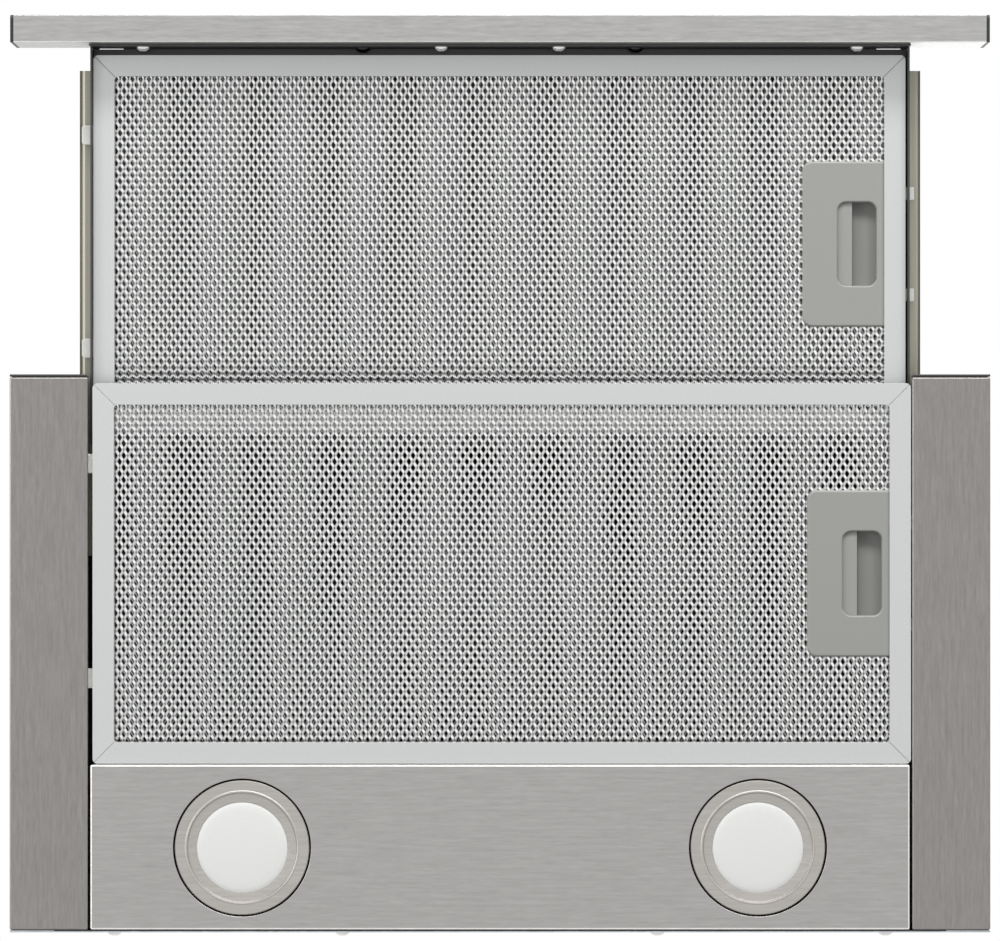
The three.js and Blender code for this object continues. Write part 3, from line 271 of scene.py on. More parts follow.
def pick(piece, kind, test):
    """In edit mode, selects the vertices, edges or faces whose middle (mm) and normal pass the test.
    An edge's normal is its own direction."""
    bpy.context.view_layer.objects.active = piece
    bpy.ops.object.mode_set(mode="EDIT")
    bpy.ops.mesh.select_mode(type=kind)
    bpy.ops.mesh.select_all(action="DESELECT")
    shape = bmesh.from_edit_mesh(piece.data)
    for part in {"VERT": shape.verts, "EDGE": shape.edges, "FACE": shape.faces}[kind]:
        if kind == "VERT":
            middle, normal = part.co, part.normal
        elif kind == "EDGE":
            middle = (part.verts[0].co + part.verts[1].co) / 2
            normal = (part.verts[1].co - part.verts[0].co).normalized()
        else:
            middle, normal = part.calc_center_median(), part.normal
        if test(middle * 1000, normal):
            part.select_set(True)
    bmesh.update_edit_mesh(piece.data)


def start_block(name, low, high):
    """A cube at its size and place in millimetres, ready to be shaped."""
    deselect()
    bpy.ops.mesh.primitive_cube_add(size=1, location=[(a + b) / 2000 for a, b in zip(low, high)],
                                    scale=[(b - a) / 1000 for a, b in zip(low, high)])
    piece = bpy.context.object
    piece.name = name
    bpy.ops.object.transform_apply(location=True, rotation=True, scale=True)
    return piece


def round_edges(piece, radius, segments, test):
    pick(piece, "EDGE", test)
    bpy.ops.mesh.bevel(offset=radius / 1000, segments=segments, affect="EDGES")
    bpy.ops.object.mode_set(mode="OBJECT")


def apply_modifiers(piece):
    deselect()
    piece.select_set(True)
    bpy.context.view_layer.objects.active = piece
    for modifier in list(piece.modifiers):
        bpy.ops.object.modifier_apply(modifier=modifier.name)


def cut_away(piece, cutters):
    """Takes the cutters' shapes out of the piece and removes them."""
    for cutter in cutters:
        cut = piece.modifiers.new("cut", "BOOLEAN")
        cut.operation = "DIFFERENCE"
        cut.solver = "EXACT"
        cut.object = cutter
    apply_modifiers(piece)
    for cutter in cutters:
        bpy.data.objects.remove(cutter)


def soften(piece, radius, segments=2, angle=35):
    """Small rounding along all sharp edges, then smooth shading up to that angle."""
    if radius:
        edge = piece.modifiers.new("edge", "BEVEL")
        edge.width = radius / 1000
        edge.segments = segments
        edge.limit_method = "ANGLE"
        edge.angle_limit = math.radians(angle)
        edge.use_clamp_overlap = True
        apply_modifiers(piece)
    deselect()
    piece.select_set(True)
    bpy.context.view_layer.objects.active = piece
    bpy.ops.object.shade_smooth_by_angle(angle=math.radians(angle))
    level = piece.modifiers.new("level", "WEIGHTED_NORMAL")
    level.keep_sharp = True
    apply_modifiers(piece)


def box_mm(name):
    low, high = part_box(name)
    return [value * 1000 for value in low], [value * 1000 for value in high]


def fit_out(piece, materials, body, slot, *stands_for):
    """Hands a finished piece its materials and its body, and hides the CAD nodes it stands for. Its slot is not used.
    """
    for material in materials:
        piece.data.materials.append(material)
    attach(piece, body)
    if stands_for:
        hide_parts(*stands_for)


def paint_folds(piece, test):
    """Second material on the faces that pass the test."""
    for face in piece.data.polygons:
        face.material_index = 1 if test(face.center * 1000, face.normal) else 0


def folded_pan(name, low, high, radius):
    """A sheet folded up on four sides: the open shell of a rounded block, given its thickness inwards."""
    pan = start_block(name, low, high)
    pick(pan, "FACE", lambda at, normal: normal.z > 0.9)
    bpy.ops.mesh.delete(type="FACE")
    round_edges(pan, radius, 5, lambda at, normal: abs(normal.z) > 0.9 or at.z < low[2] + 0.01)
    wall = pan.modifiers.new("sheet", "SOLIDIFY")
    wall.thickness = STEEL_SHEET / 1000
    wall.offset = -1
    wall.use_even_offset = True
    apply_modifiers(pan)
    return pan


def brushed(name, dark, light, along_x, roughness):
    material, nodes, shader, where = new_material(name, light, 1, roughness)
    scale = (1 / GRAIN_LENGTH, 1 / GRAIN_WIDTH, 1 / GRAIN_WIDTH)
    if not along_x:
        scale = (1 / GRAIN_WIDTH, 1 / GRAIN_LENGTH, 1 / GRAIN_WIDTH)
    stretched = add_node(nodes, "ShaderNodeMapping", links={"Vector": where, "Scale": scale})
    grain = add_node(nodes, "ShaderNodeTexNoise",
                     links={"Vector": stretched.outputs[0], "Scale": 1, "Detail": 3, "Roughness": 0.6})
    broad = add_node(nodes, "ShaderNodeTexNoise",
                     links={"Vector": stretched.outputs[0], "Scale": BROAD_GRAIN, "Detail": 2})
    both = add_node(nodes, "ShaderNodeMath", {"operation": "ADD"}, {0: grain.outputs[0], 1: broad.outputs[0]})
    blend = add_node(nodes, "ShaderNodeMapRange", links={0: both.outputs[0], 1: 0.5, 2: 1.5})
    tint(nodes, shader, blend.outputs[0], dark, light)
    polish(nodes, shader, grain.outputs[0], roughness - 0.08, roughness + 0.1)
    relief(nodes, shader, grain.outputs[0], 0.00003, 0.3)
    return material


trim_steel = brushed("stainless_brushed_front_to_back", "7f7c7a", "979492", False, 0.38)
trim_fold, nodes, shader, where = new_material("stainless_drawn_trim_fold", "b4b2af", 1, 0.4)
pull = add_node(nodes, "ShaderNodeTexNoise", links={"Vector": where, "Scale": 180, "Detail": 3})
tint(nodes, shader, pull.outputs[0], "7e7c79", "949290")
for side, turn in (("left", -1), ("right", 1)):
    low, high = box_mm(f"side_trim_{side}")
    trim = folded_pan(f"side_trim_{side}_skin", low, high, TRIM_FOLD_RADIUS)
    inner = low[0] if turn > 0 else high[0]
    hem_end = inner + turn * HEM_WIDTH
    joggle_end = inner + turn * JOGGLE_WIDTH
    hem = start_block("hem_cut", (min(inner - turn, hem_end), low[1] - 1, HEM_HEIGHT),
                      (max(inner - turn, hem_end), high[1] + 1, high[2] + 1))
    wall = start_block("wall_cut", (min(inner + turn * STEEL_SHEET, hem_end), low[1] - 1, STEEL_SHEET),
                       (max(inner + turn * STEEL_SHEET, hem_end), high[1] + 1, high[2] + 1))
    joggle = start_block("joggle_cut", (min(hem_end - turn, joggle_end), low[1] - 1, JOGGLE_HEIGHT),
                         (max(hem_end - turn, joggle_end), high[1] + 1, high[2] + 1))
    cut_away(trim, [hem, wall, joggle])
    soften(trim, 0)
    paint_folds(trim, lambda at, normal: abs(normal.z) < FLAT and at.z < TRIM_FOLD_RADIUS)
    fit_out(trim, [trim_steel, trim_fold], "hood_body", "brushed_stainless", f"side_trim_{side}")


# Lamp panel: the same stainless, brushed from side to side, with a round hole for each lamp whose pressed
# edge turns up a little and catches the light. Its outer folds are painted much lighter: a painted highlight.
PANEL_FOLD_RADIUS = 1.0
LAMP_HOLE = 35.15
HOLE_ROLL = 0.35

panel_steel = brushed("stainless_brushed_side_to_side", "999795", "afadab", True, 0.38)
# The folds' much lighter colour is a painted highlight.
bright_fold, nodes, shader, where = new_material("stainless_drawn_fold", "e2e1de", 1, 0.34)
pull = add_node(nodes, "ShaderNodeTexNoise", links={"Vector": where, "Scale": 180, "Detail": 3})
tint(nodes, shader, pull.outputs[0], "d3d1cd", "eeedea")
low, high = box_mm("lamp_panel")
panel = folded_pan("lamp_panel_skin", low, high, PANEL_FOLD_RADIUS)
lamps = {}
for side in ("left", "right"):
    bezel_low, bezel_high = box_mm(f"lamp_bezel_{side}")
    lamps[side] = ((bezel_low[0] + bezel_high[0]) / 2, (bezel_low[1] + bezel_high[1]) / 2)
    deselect()
    bpy.ops.mesh.primitive_cylinder_add(vertices=96, radius=LAMP_HOLE / 1000, depth=0.004,
                                        location=(lamps[side][0] / 1000, lamps[side][1] / 1000, 0))
    cut_away(panel, [bpy.context.object])


def near_lamp(at):
    return min(math.hypot(at.x - x, at.y - y) for x, y in lamps.values())


round_edges(panel, HOLE_ROLL, 3, lambda at, normal: abs(near_lamp(at) - LAMP_HOLE) < 0.1 and at.z < 0.01)
soften(panel, 0)
paint_folds(panel, lambda at, normal: abs(normal.z) < FLAT and at.z < PANEL_FOLD_RADIUS
            and near_lamp(at) > LAMP_HOLE + 1)
fit_out(panel, [panel_steel, bright_fold], "hood_body", "brushed_stainless", "lamp_panel")


# Lamps: a spun steel ring with a satin finish and one raised step, round a frosted polycarbonate lens that
# is slightly domed and white inside. The can behind it is galvanised.
RING = ((34.3, 1.1), (34.3, 0.75), (33.9, 0.35), (33.4, 0.3), (29.2, 0.45), (28.9, 0.24), (28.5, 0.14), (28.1, 0.28),
        (27.8, 0.9), (27.5, 1.2), (24.0, 1.75), (23.3, 1.9), (23.2, 2.1))
LENS = ((23.6, 2.3), (23.0, 2.2), (22.4, 2.0), (21.0, 1.75), (18.0, 1.6), (12.0, 1.45), (6.0, 1.4), (1.5, 1.4))


def turned(name, profile, centre, sides):
    """A form of revolution about Z: a circle, extruded ring by ring along a profile of (radius, height)."""
    deselect()
    radius, height = profile[0]
    bpy.ops.mesh.primitive_circle_add(vertices=sides, radius=radius / 1000, fill_type="NOTHING",
                                      location=(centre[0] / 1000, centre[1] / 1000, height / 1000))
    piece = bpy.context.object
    piece.name = name
    bpy.ops.object.transform_apply(location=True)
    bpy.ops.object.mode_set(mode="EDIT")
    bpy.ops.mesh.select_mode(type="EDGE")
    bpy.ops.mesh.select_all(action="SELECT")
    for next_radius, next_height in profile[1:]:
        bpy.ops.mesh.extrude_edges_move()
        share = next_radius / radius
        bpy.ops.transform.resize(value=(share, share, 1),
                                 center_override=(centre[0] / 1000, centre[1] / 1000, height / 1000))
        bpy.ops.transform.translate(value=(0, 0, (next_height - height) / 1000))
        radius, height = next_radius, next_height
    return piece


def close_end(piece):
    """Fills the ring that is still selected with a fan of triangles, and turns the faces outwards."""
    bpy.ops.mesh.edge_face_add()
    bpy.ops.mesh.poke()
    bpy.ops.mesh.select_all(action="SELECT")
    bpy.ops.mesh.normals_make_consistent(inside=False)
    bpy.ops.object.mode_set(mode="OBJECT")


satin, nodes, shader, where = new_material("satin_spun_steel", "aca8a3", 1, 0.42)
spun = add_node(nodes, "ShaderNodeMapping", links={"Vector": where, "Scale": (30, 1100, 1100)})
sand = add_node(nodes, "ShaderNodeTexNoise", links={"Vector": spun.outputs[0], "Scale": 1, "Detail": 2})
tint(nodes, shader, sand.outputs[0], "a09d98", "b6b3ae")
polish(nodes, shader, sand.outputs[0], 0.34, 0.5)
satin_step, nodes, shader, where = new_material("satin_spun_step", "b0ada8", 1, 0.5)
sand = add_node(nodes, "ShaderNodeTexNoise", links={"Vector": where, "Scale": 400, "Detail": 2})
tint(nodes, shader, sand.outputs[0], "a09d98", "b4b1ac")
frosted, nodes, shader, where = new_material("frosted_polycarbonate", "ebecea", 0, 0.5)
mist = add_node(nodes, "ShaderNodeTexNoise", links={"Vector": where, "Scale": 900, "Detail": 1})
tint(nodes, shader, mist.outputs[0], "e9eae7", "eeefec")
for side, centre in lamps.items():
    ring = turned(f"lamp_ring_{side}", RING, centre, 128)
    bpy.ops.object.mode_set(mode="OBJECT")
    wall = ring.modifiers.new("sheet", "SOLIDIFY")
    wall.thickness = 0.0005
    wall.offset = 1
    apply_modifiers(ring)
    soften(ring, 0, angle=20)
    paint_folds(ring, lambda at, normal: abs(normal.z) < 0.93)
    fit_out(ring, [satin, satin_step], "hood_body", "satin_ring", f"lamp_bezel_{side}")
    lens = turned(f"lamp_lens_{side}_dome", LENS, centre, 96)
    close_end(lens)
    soften(lens, 0)
    fit_out(lens, [frosted], "hood_body", "frosted_lens", f"lamp_lens_{side}")
    dress(f"lamp_can_{side}", galvanised, 0.0004)


# Screws: zinc-plated steel pan heads with a cross recess, cold headed. Four hold the rear wall, four the
# fascia. Two blackened ones of the same kind sit in the front of the drawer tray.
HEAD = ((3.9, 0.0), (3.85, 0.35), (3.5, 0.95), (2.9, 1.5), (2.0, 2.0), (0.8, 2.3))
RECESS = 4.0
RECESS_SLOT = 0.8
RECESS_DEPTH = 1.3
BLACK_SCREWS = (-70.5, 69.8)
BLACK_SCREW_HEIGHT = 25.5

zinc, nodes, shader, where = new_material("bright_zinc_plating", "d4d4d2", 1, 0.24)
cloud = add_node(nodes, "ShaderNodeTexNoise", links={"Vector": where, "Scale": 250, "Detail": 3})
tint(nodes, shader, cloud.outputs[0], "c6c6c4", "e6e6e4")
polish(nodes, shader, cloud.outputs[0], 0.16, 0.32)
blackened, nodes, shader, where = new_material("blackened_steel", "2a2a2b", 1, 0.35)
oil = add_node(nodes, "ShaderNodeTexNoise", links={"Vector": where, "Scale": 300, "Detail": 2})
tint(nodes, shader, oil.outputs[0], "1c1c1d", "454546")
polish(nodes, shader, oil.outputs[0], 0.28, 0.42)


def pan_screw(name, seat):
    """A pan head turned about Z, with its cross recess, laid over to point backwards from its seat."""
    head = turned(name, HEAD, (0, 0), 24)
    bpy.ops.mesh.edge_face_add()
    bpy.ops.mesh.select_all(action="SELECT")
    bpy.ops.mesh.normals_make_consistent(inside=False)
    pick(head, "EDGE", lambda at, normal: at.z < 0.01)
    bpy.ops.mesh.edge_face_add()
    bpy.ops.mesh.select_all(action="SELECT")
    bpy.ops.mesh.normals_make_consistent(inside=False)
    bpy.ops.object.mode_set(mode="OBJECT")
    top = HEAD[-1][1]
    half, slot = RECESS / 2, RECESS_SLOT / 2
    cut_away(head, [start_block("recess_across", (-half, -slot, top - RECESS_DEPTH), (half, slot, top + 1)),
                    start_block("recess_along", (-slot, -half, top - RECESS_DEPTH), (slot, half, top + 1))])
    soften(head, 0, angle=40)
    head.rotation_euler = (-math.pi / 2, 0, 0)
    head.location = [value / 1000 for value in seat]
    deselect()
    head.select_set(True)
    bpy.context.view_layer.objects.active = head
    bpy.ops.object.transform_apply(location=True, rotation=True, scale=True)
    return head


for number in (1, 2, 3, 4):
    for place, body in (("rear", "hood_body"), ("fascia", "drawer")):
        low, high = box_mm(f"{place}_screw_{number}")
        seat = ((low[0] + high[0]) / 2, high[1] - HEAD[-1][1], (low[2] + high[2]) / 2)
        screw = pan_screw(f"{place}_screw_head_{number}", seat)
        fit_out(screw, [zinc], body, "zinc_plated", f"{place}_screw_{number}")
tray_front = box_mm("drawer_tray")[0][1]
for number, across in enumerate(BLACK_SCREWS, 1):
    screw = pan_screw(f"tray_black_screw_{number}", (across, tray_front + 1, BLACK_SCREW_HEIGHT))
    fit_out(screw, [blackened], "drawer", "black_steel")


# Filter frames: four bars of anodised aluminium channel, mitred at the corners, with the foil packs held in
# the channel. The bars' edges are rounded by extrusion, and each mitre shows as a fine dark line.
BAR = 10.9
BAR_WALL = 1.0
CHANNEL = 8.6
CORNER = 2.5
MITRE_WIDTH = 0.36
MITRE_DEPTH = 0.5

anodised, nodes, shader, where = new_material("anodised_aluminium", "cdcfce", 0.6, 0.42)
haze = add_node(nodes, "ShaderNodeTexNoise", links={"Vector": where, "Scale": 900, "Detail": 2})
tint(nodes, shader, haze.outputs[0], "c4c6c5", "cdcfce")
for filter_name, body in (("fixed_filter", "hood_body"), ("drawer_filter", "drawer")):
    low, high = box_mm(f"{filter_name}_frame")
    middle = [(a + b) / 2000 for a, b in zip(low, high)]
    width, depth = high[0] - low[0], high[1] - low[1]
    bars = start_block(f"{filter_name}_bars", low, high)
    round_edges(bars, CORNER, 6, lambda at, normal: abs(normal.z) > 0.9)
    pick(bars, "FACE", lambda at, normal: abs(normal.z) > 0.9)
    bpy.ops.mesh.delete(type="FACE")
    bpy.ops.object.mode_set(mode="OBJECT")
    for level, inwards in ((low[2], 1), (high[2], -1)):
        pick(bars, "EDGE", lambda at, normal: abs(at.z - level) < 0.01 and abs(normal.z) < 0.1)
        bpy.ops.mesh.extrude_edges_move()
        share = ((width - 2 * BAR) / width, (depth - 2 * BAR) / depth, 1)
        bpy.ops.transform.resize(value=share, center_override=middle)
        bpy.ops.mesh.extrude_edges_move()
        bpy.ops.transform.translate(value=(0, 0, inwards * BAR_WALL / 1000))
        bpy.ops.mesh.extrude_edges_move()
        share = ((width - 2 * (BAR - CHANNEL)) / (width - 2 * BAR),
                 (depth - 2 * (BAR - CHANNEL)) / (depth - 2 * BAR), 1)
        bpy.ops.transform.resize(value=share, center_override=middle)
        bpy.ops.object.mode_set(mode="OBJECT")
    pick(bars, "EDGE", lambda at, normal: abs(normal.z) < 0.1 and low[2] + 0.5 < at.z < high[2] - 0.5
         and (abs(at.x - middle[0] * 1000) > width / 2 - BAR + 1 or abs(at.y - middle[1] * 1000) > depth / 2 - BAR + 1)
         and (abs(at.x - middle[0] * 1000) < width / 2 - 0.5 and abs(at.y - middle[1] * 1000) < depth / 2 - 0.5))
    bpy.ops.mesh.bridge_edge_loops()
    bpy.ops.mesh.select_all(action="SELECT")
    bpy.ops.mesh.normals_make_consistent(inside=False)
    bpy.ops.object.mode_set(mode="OBJECT")
    grooves = []
    for across in (-1, 1):
        for along in (-1, 1):
            reach = BAR * math.sqrt(2)
            groove = start_block("mitre", (-reach, -MITRE_WIDTH / 2, -1), (reach * 0.92, MITRE_WIDTH / 2, MITRE_DEPTH))
            groove.rotation_euler = (0, 0, math.atan2(along, across))
            groove.location = ((middle[0] * 1000 + across * (width / 2 - BAR / 2)) / 1000,
                               (middle[1] * 1000 + along * (depth / 2 - BAR / 2)) / 1000, low[2] / 1000)
            grooves.append(groove)
    cut_away(bars, grooves)
    soften(bars, 0.3, 3)
    fit_out(bars, [anodised], body, "filter_frame", f"{filter_name}_frame")


# Grease filter packs: sheets of aluminium foil, slit and stretched into diamond holes, laid over each other
# and cut to the frame. Stretching tips the strands over; those that run one way also get a painted highlight,
# the others stay dull, and a slit shows in the middle of each joint. Behind the front sheet lie finer ones that
# show in its holes, painted darker as painted shade: one in the fixed filter and two in the drawer's, darker still.
# Hand laid, they wander a little out of line.
PITCH = (4.22, 6.18)
OPENING = (1.16, 1.92)
STRAND_TIP = 0.26
LEAN_TIP = 0.16
PHASE = (1.05, 1.15)
MESH_TUCK = 1.5
HANDLE_OVERLAP = 1.2
SHEET_DEPTH = 1.5
SHEET_STEP = 0.95
SLIT_SPREAD = (0.5, 0.8)
WANDER = 0.45
WANDER_LENGTH = 28


def stretched_sheet(name, low, high, notch, pitch, opening, tip, z):
    """One slit and stretched sheet: a ring round one hole, repeated both ways and cut to the window."""
    deselect()
    bpy.ops.mesh.primitive_circle_add(vertices=8, radius=0.001, fill_type="NGON", calc_uvs=False,
                                      location=(0, 0, 0))
    sheet = bpy.context.object
    sheet.name = name
    pick(sheet, "VERT", lambda at, normal: abs(at.x) > 0.5 and abs(at.y) > 0.5)
    bpy.ops.transform.resize(value=(math.sqrt(0.5), math.sqrt(0.5), 1))
    bpy.ops.mesh.select_all(action="SELECT")
    bpy.ops.transform.resize(value=(pitch[0] / 2, pitch[1] / 2, 1))
    bpy.ops.mesh.select_mode(type="FACE")
    bpy.ops.mesh.select_all(action="SELECT")
    bpy.ops.mesh.inset(thickness=0.00002, use_even_offset=False)
    bpy.ops.transform.resize(value=(opening[0] / pitch[0] * 2, opening[1] / pitch[1] * 2, 1))
    bpy.ops.mesh.delete(type="FACE")
    pick(sheet, "VERT", lambda at, normal: 0.1 < abs(at.x) < opening[0] * 0.7 and 0.1 < abs(at.y) < opening[1] * 0.7)
    bpy.ops.transform.resize(value=(1.12, 1.12, 1))
    for turn in (1, -1):
        pick(sheet, "VERT", lambda at, normal: abs(at.x) < opening[0] * 1.05 and abs(at.y) < opening[1] * 1.05
             and turn * at.y > 0.1)
        bpy.ops.transform.translate(value=(0, 0, turn * tip / 1000))
        pick(sheet, "VERT", lambda at, normal: 0.1 < -turn * at.x < opening[0] * 1.05
             and 0.1 < turn * at.y < opening[1] * 1.05)
        bpy.ops.transform.translate(value=(0, 0, turn * LEAN_TIP / 1000))
    bpy.ops.object.mode_set(mode="OBJECT")
    cell = sheet.data.uv_layers.new(name="cell")
    for loop in sheet.data.loops:
        at = sheet.data.vertices[loop.vertex_index].co
        cell.data[loop.index].uv = (at.x * 1000 / pitch[0], at.y * 1000 / pitch[1])
    steps = (("half_step", 2, (pitch[0] / 2, pitch[1] / 2)),
             ("across", math.ceil((high[0] - low[0]) / pitch[0]) + 2, (pitch[0], 0)),
             ("along", math.ceil((high[1] - low[1]) / pitch[1]) + 2, (0, pitch[1])))
    for label, count, step in steps:
        run = sheet.modifiers.new(label, "ARRAY")
        run.count = count
        run.use_relative_offset = False
        run.use_constant_offset = True
        run.constant_offset_displace = (step[0] / 1000, step[1] / 1000, 0)
    apply_modifiers(sheet)
    sheet.location = ((low[0] - pitch[0] / 4 + PHASE[0] - pitch[0]) / 1000,
                      (low[1] - pitch[1] / 4 + PHASE[1] - pitch[1]) / 1000, z / 1000)
    bpy.ops.object.transform_apply(location=True)
    bpy.ops.object.mode_set(mode="EDIT")
    for edge, normal in ((low, (-1, 0, 0)), (low, (0, -1, 0)), (high, (1, 0, 0)), (high, (0, 1, 0))):
        bpy.ops.mesh.select_all(action="SELECT")
        bpy.ops.mesh.bisect(plane_co=(edge[0] / 1000, edge[1] / 1000, 0), plane_no=normal, clear_outer=True)
    pick(sheet, "FACE", lambda at, normal: at.x > notch[0] and notch[1] < at.y < notch[2])
    bpy.ops.mesh.delete(type="FACE")
    bpy.ops.mesh.select_all(action="SELECT")
    bpy.ops.mesh.remove_doubles(threshold=0.00002)
    bpy.ops.mesh.normals_make_consistent(inside=False)
    bpy.ops.object.mode_set(mode="OBJECT")
    return sheet


def stretched_foil(name, shining, dull, slit, roughness):
    """Foil whose colour follows the place in the hole's cell: strands of one direction painted with a highlight, the
    others dull, and a slit in each joint.
    """
    material, nodes, shader, where = new_material(name, dull, 1, roughness)
    cell = add_node(nodes, "ShaderNodeUVMap", {"uv_map": "cell"})
    turned_cell = add_node(nodes, "ShaderNodeVectorMath", {"operation": "SCALE"},
                           {0: cell.outputs[0], "Scale": 2 * math.pi})
    waves = add_node(nodes, "ShaderNodeVectorMath", {"operation": "SINE"}, {0: turned_cell.outputs[0]})
    wave = add_node(nodes, "ShaderNodeSeparateXYZ", links={0: waves.outputs[0]})
    lean = add_node(nodes, "ShaderNodeMath", {"operation": "MULTIPLY"}, {0: wave.outputs[0], 1: wave.outputs[1]})
    # Painted highlight on the strands that run one way; the geometry tips them too.
    shine = add_node(nodes, "ShaderNodeMapRange", {"interpolation_type": "SMOOTHSTEP"},
                     {0: lean.outputs[0], 1: -0.1, 2: -0.8})
    spread = add_node(nodes, "ShaderNodeVectorMath", {"operation": "MULTIPLY"},
                      {0: waves.outputs[0], 1: (1 / SLIT_SPREAD[0], 1 / SLIT_SPREAD[1], 0)})
    reach = add_node(nodes, "ShaderNodeVectorMath", {"operation": "LENGTH"}, {0: spread.outputs[0]})
    mark = add_node(nodes, "ShaderNodeMapRange", {"interpolation_type": "SMOOTHSTEP"},
                    {0: reach.outputs["Value"], 1: 1.3, 2: 0.5})
    strand = add_node(nodes, "ShaderNodeMix", {"data_type": "RGBA"},
                      {0: shine.outputs[0], 6: linear(dull), 7: linear(shining)})
    whole = add_node(nodes, "ShaderNodeMix", {"data_type": "RGBA"},
                     {0: mark.outputs[0], 6: strand.outputs[2], 7: linear(slit)})
    nodes.links.new(whole.outputs[2], shader.inputs["Base Color"])
    return material


def let_wander(sheet):
    """Moves the sheet's holes a little out of line, each way along X and Y, as hand-laid foil lies."""
    for direction, depth in (("X", 1), ("Y", 3)):
        drift = bpy.data.textures.new(f"{sheet.name}_drift_{direction}", "CLOUDS")
        drift.noise_scale = WANDER_LENGTH / 1000
        drift.noise_depth = depth
        move = sheet.modifiers.new(f"drift_{direction}", "DISPLACE")
        move.texture = drift
        move.texture_coords = "LOCAL"
        move.direction = direction
        move.strength = 2 * WANDER / 1000
    apply_modifiers(sheet)


foil = stretched_foil("stretched_aluminium_foil", "f6f6f5", "c6c6c5", "5c5c5c", 0.33)
# The sheets behind are the same foil painted darker, each deeper one darker still: painted shade.
inner_foil = stretched_foil("inner_aluminium_foil", "c8c8c8", "9a9a9a", "505050", 0.4)
shaded_foil = stretched_foil("inner_aluminium_foil_dull", "a2a2a2", "7c7c7c", "464646", 0.4)
dark_foil = stretched_foil("rear_aluminium_foil", "646464", "505050", "282828", 0.4)
BACK_SHEETS = {"fixed_filter": (((3.79, 6.24), (1.6, 2.8), 0.2, inner_foil),),
               "drawer_filter": (((3.79, 6.24), (1.42, 2.5), 0.2, shaded_foil),
                                 ((2.99, 6.18), (0.95, 2.0), 0.12, dark_foil))}
for filter_name, body in (("fixed_filter", "hood_body"), ("drawer_filter", "drawer")):
    low, high = box_mm(f"{filter_name}_frame")
    mesh_face = box_mm(f"{filter_name}_mesh")[0][2]
    handle_low, handle_high = box_mm(f"{filter_name}_handle")
    tuck = BAR - MESH_TUCK
    window = ((low[0] + tuck, low[1] + tuck), (high[0] - tuck, high[1] - tuck))
    notch = (handle_low[0] + HANDLE_OVERLAP, handle_low[1] + HANDLE_OVERLAP, handle_high[1] - HANDLE_OVERLAP)
    front = stretched_sheet(f"{filter_name}_front_sheet", *window, notch, PITCH, OPENING, STRAND_TIP,
                            mesh_face + SHEET_DEPTH)
    fit_out(front, [foil], body, "filter_mesh", f"{filter_name}_mesh")
    for number, (pitch, opening, tip, sheet_foil) in enumerate(BACK_SHEETS[filter_name], 1):
        back = stretched_sheet(f"{filter_name}_back_sheet_{number}", *window, notch, pitch, opening, tip,
                               mesh_face + SHEET_DEPTH + number * SHEET_STEP)
        let_wander(back)
        fit_out(back, [sheet_foil], body, "filter_mesh")


# Filter handles: moulded grey ABS with a round-edged face and a finger slot, whose left part shows the
# sliding latch, and whose right part is the finger well, its faces painted a darker grey as painted shade.
# Latches are the same ABS; where their two tongues slide into the hood they are painted the milky, slightly
# see-through nylon of the pin tabs, partly their own pale colour and partly painted light, as they sit in shade.
HANDLE_RIM = 1.2
HANDLE_CORNER = 5
HANDLE_SKIN = 1.3
HANDLE_WALL = 1.5
SLOT_SIZE = (20, 43)
SLOT_MARGIN = 3.9
SLOT_CORNER = 4.5
SLOT_RIM = 0.9
GRIP = 7.5
WELL_DEPTH = 5.4
TONGUE_WIDTH = 6.5
TOOL_TEXTURE = 0.0004

moulded_grey, nodes, shader, where = new_material("moulded_grey_abs", "a1a29e", 0, 0.45)
skin = add_node(nodes, "ShaderNodeTexNoise", links={"Vector": where, "Scale": 1 / TOOL_TEXTURE, "Detail": 1})
tint(nodes, shader, skin.outputs[0], "969793", "a0a19d")
relief(nodes, shader, skin.outputs[0], 0.00004, 0.35)
shaded_grey, nodes, shader, where = new_material("moulded_grey_abs_of_the_well", "868783", 0, 0.5)
skin = add_node(nodes, "ShaderNodeTexNoise", links={"Vector": where, "Scale": 1 / TOOL_TEXTURE, "Detail": 1})
tint(nodes, shader, skin.outputs[0], "838480", "8a8b87")
natural, nodes, shader, where = new_material("natural_nylon", "e4e4de", 0, 0.4)
milk = add_node(nodes, "ShaderNodeTexNoise", links={"Vector": where, "Scale": 400, "Detail": 1})
tint(nodes, shader, milk.outputs[0], "dedfd8", "eaeae5")
shader.inputs["Subsurface Weight"].default_value = 0.15
shader.inputs["Subsurface Radius"].default_value = (0.002, 0.002, 0.002)


def join_to(piece, others):
    """Makes one shape of the piece and the others, which are used up."""
    for other in others:
        union = piece.modifiers.new("union", "BOOLEAN")
        union.operation = "UNION"
        union.solver = "EXACT"
        union.object = other
    apply_modifiers(piece)
    for other in others:
        bpy.data.objects.remove(other)


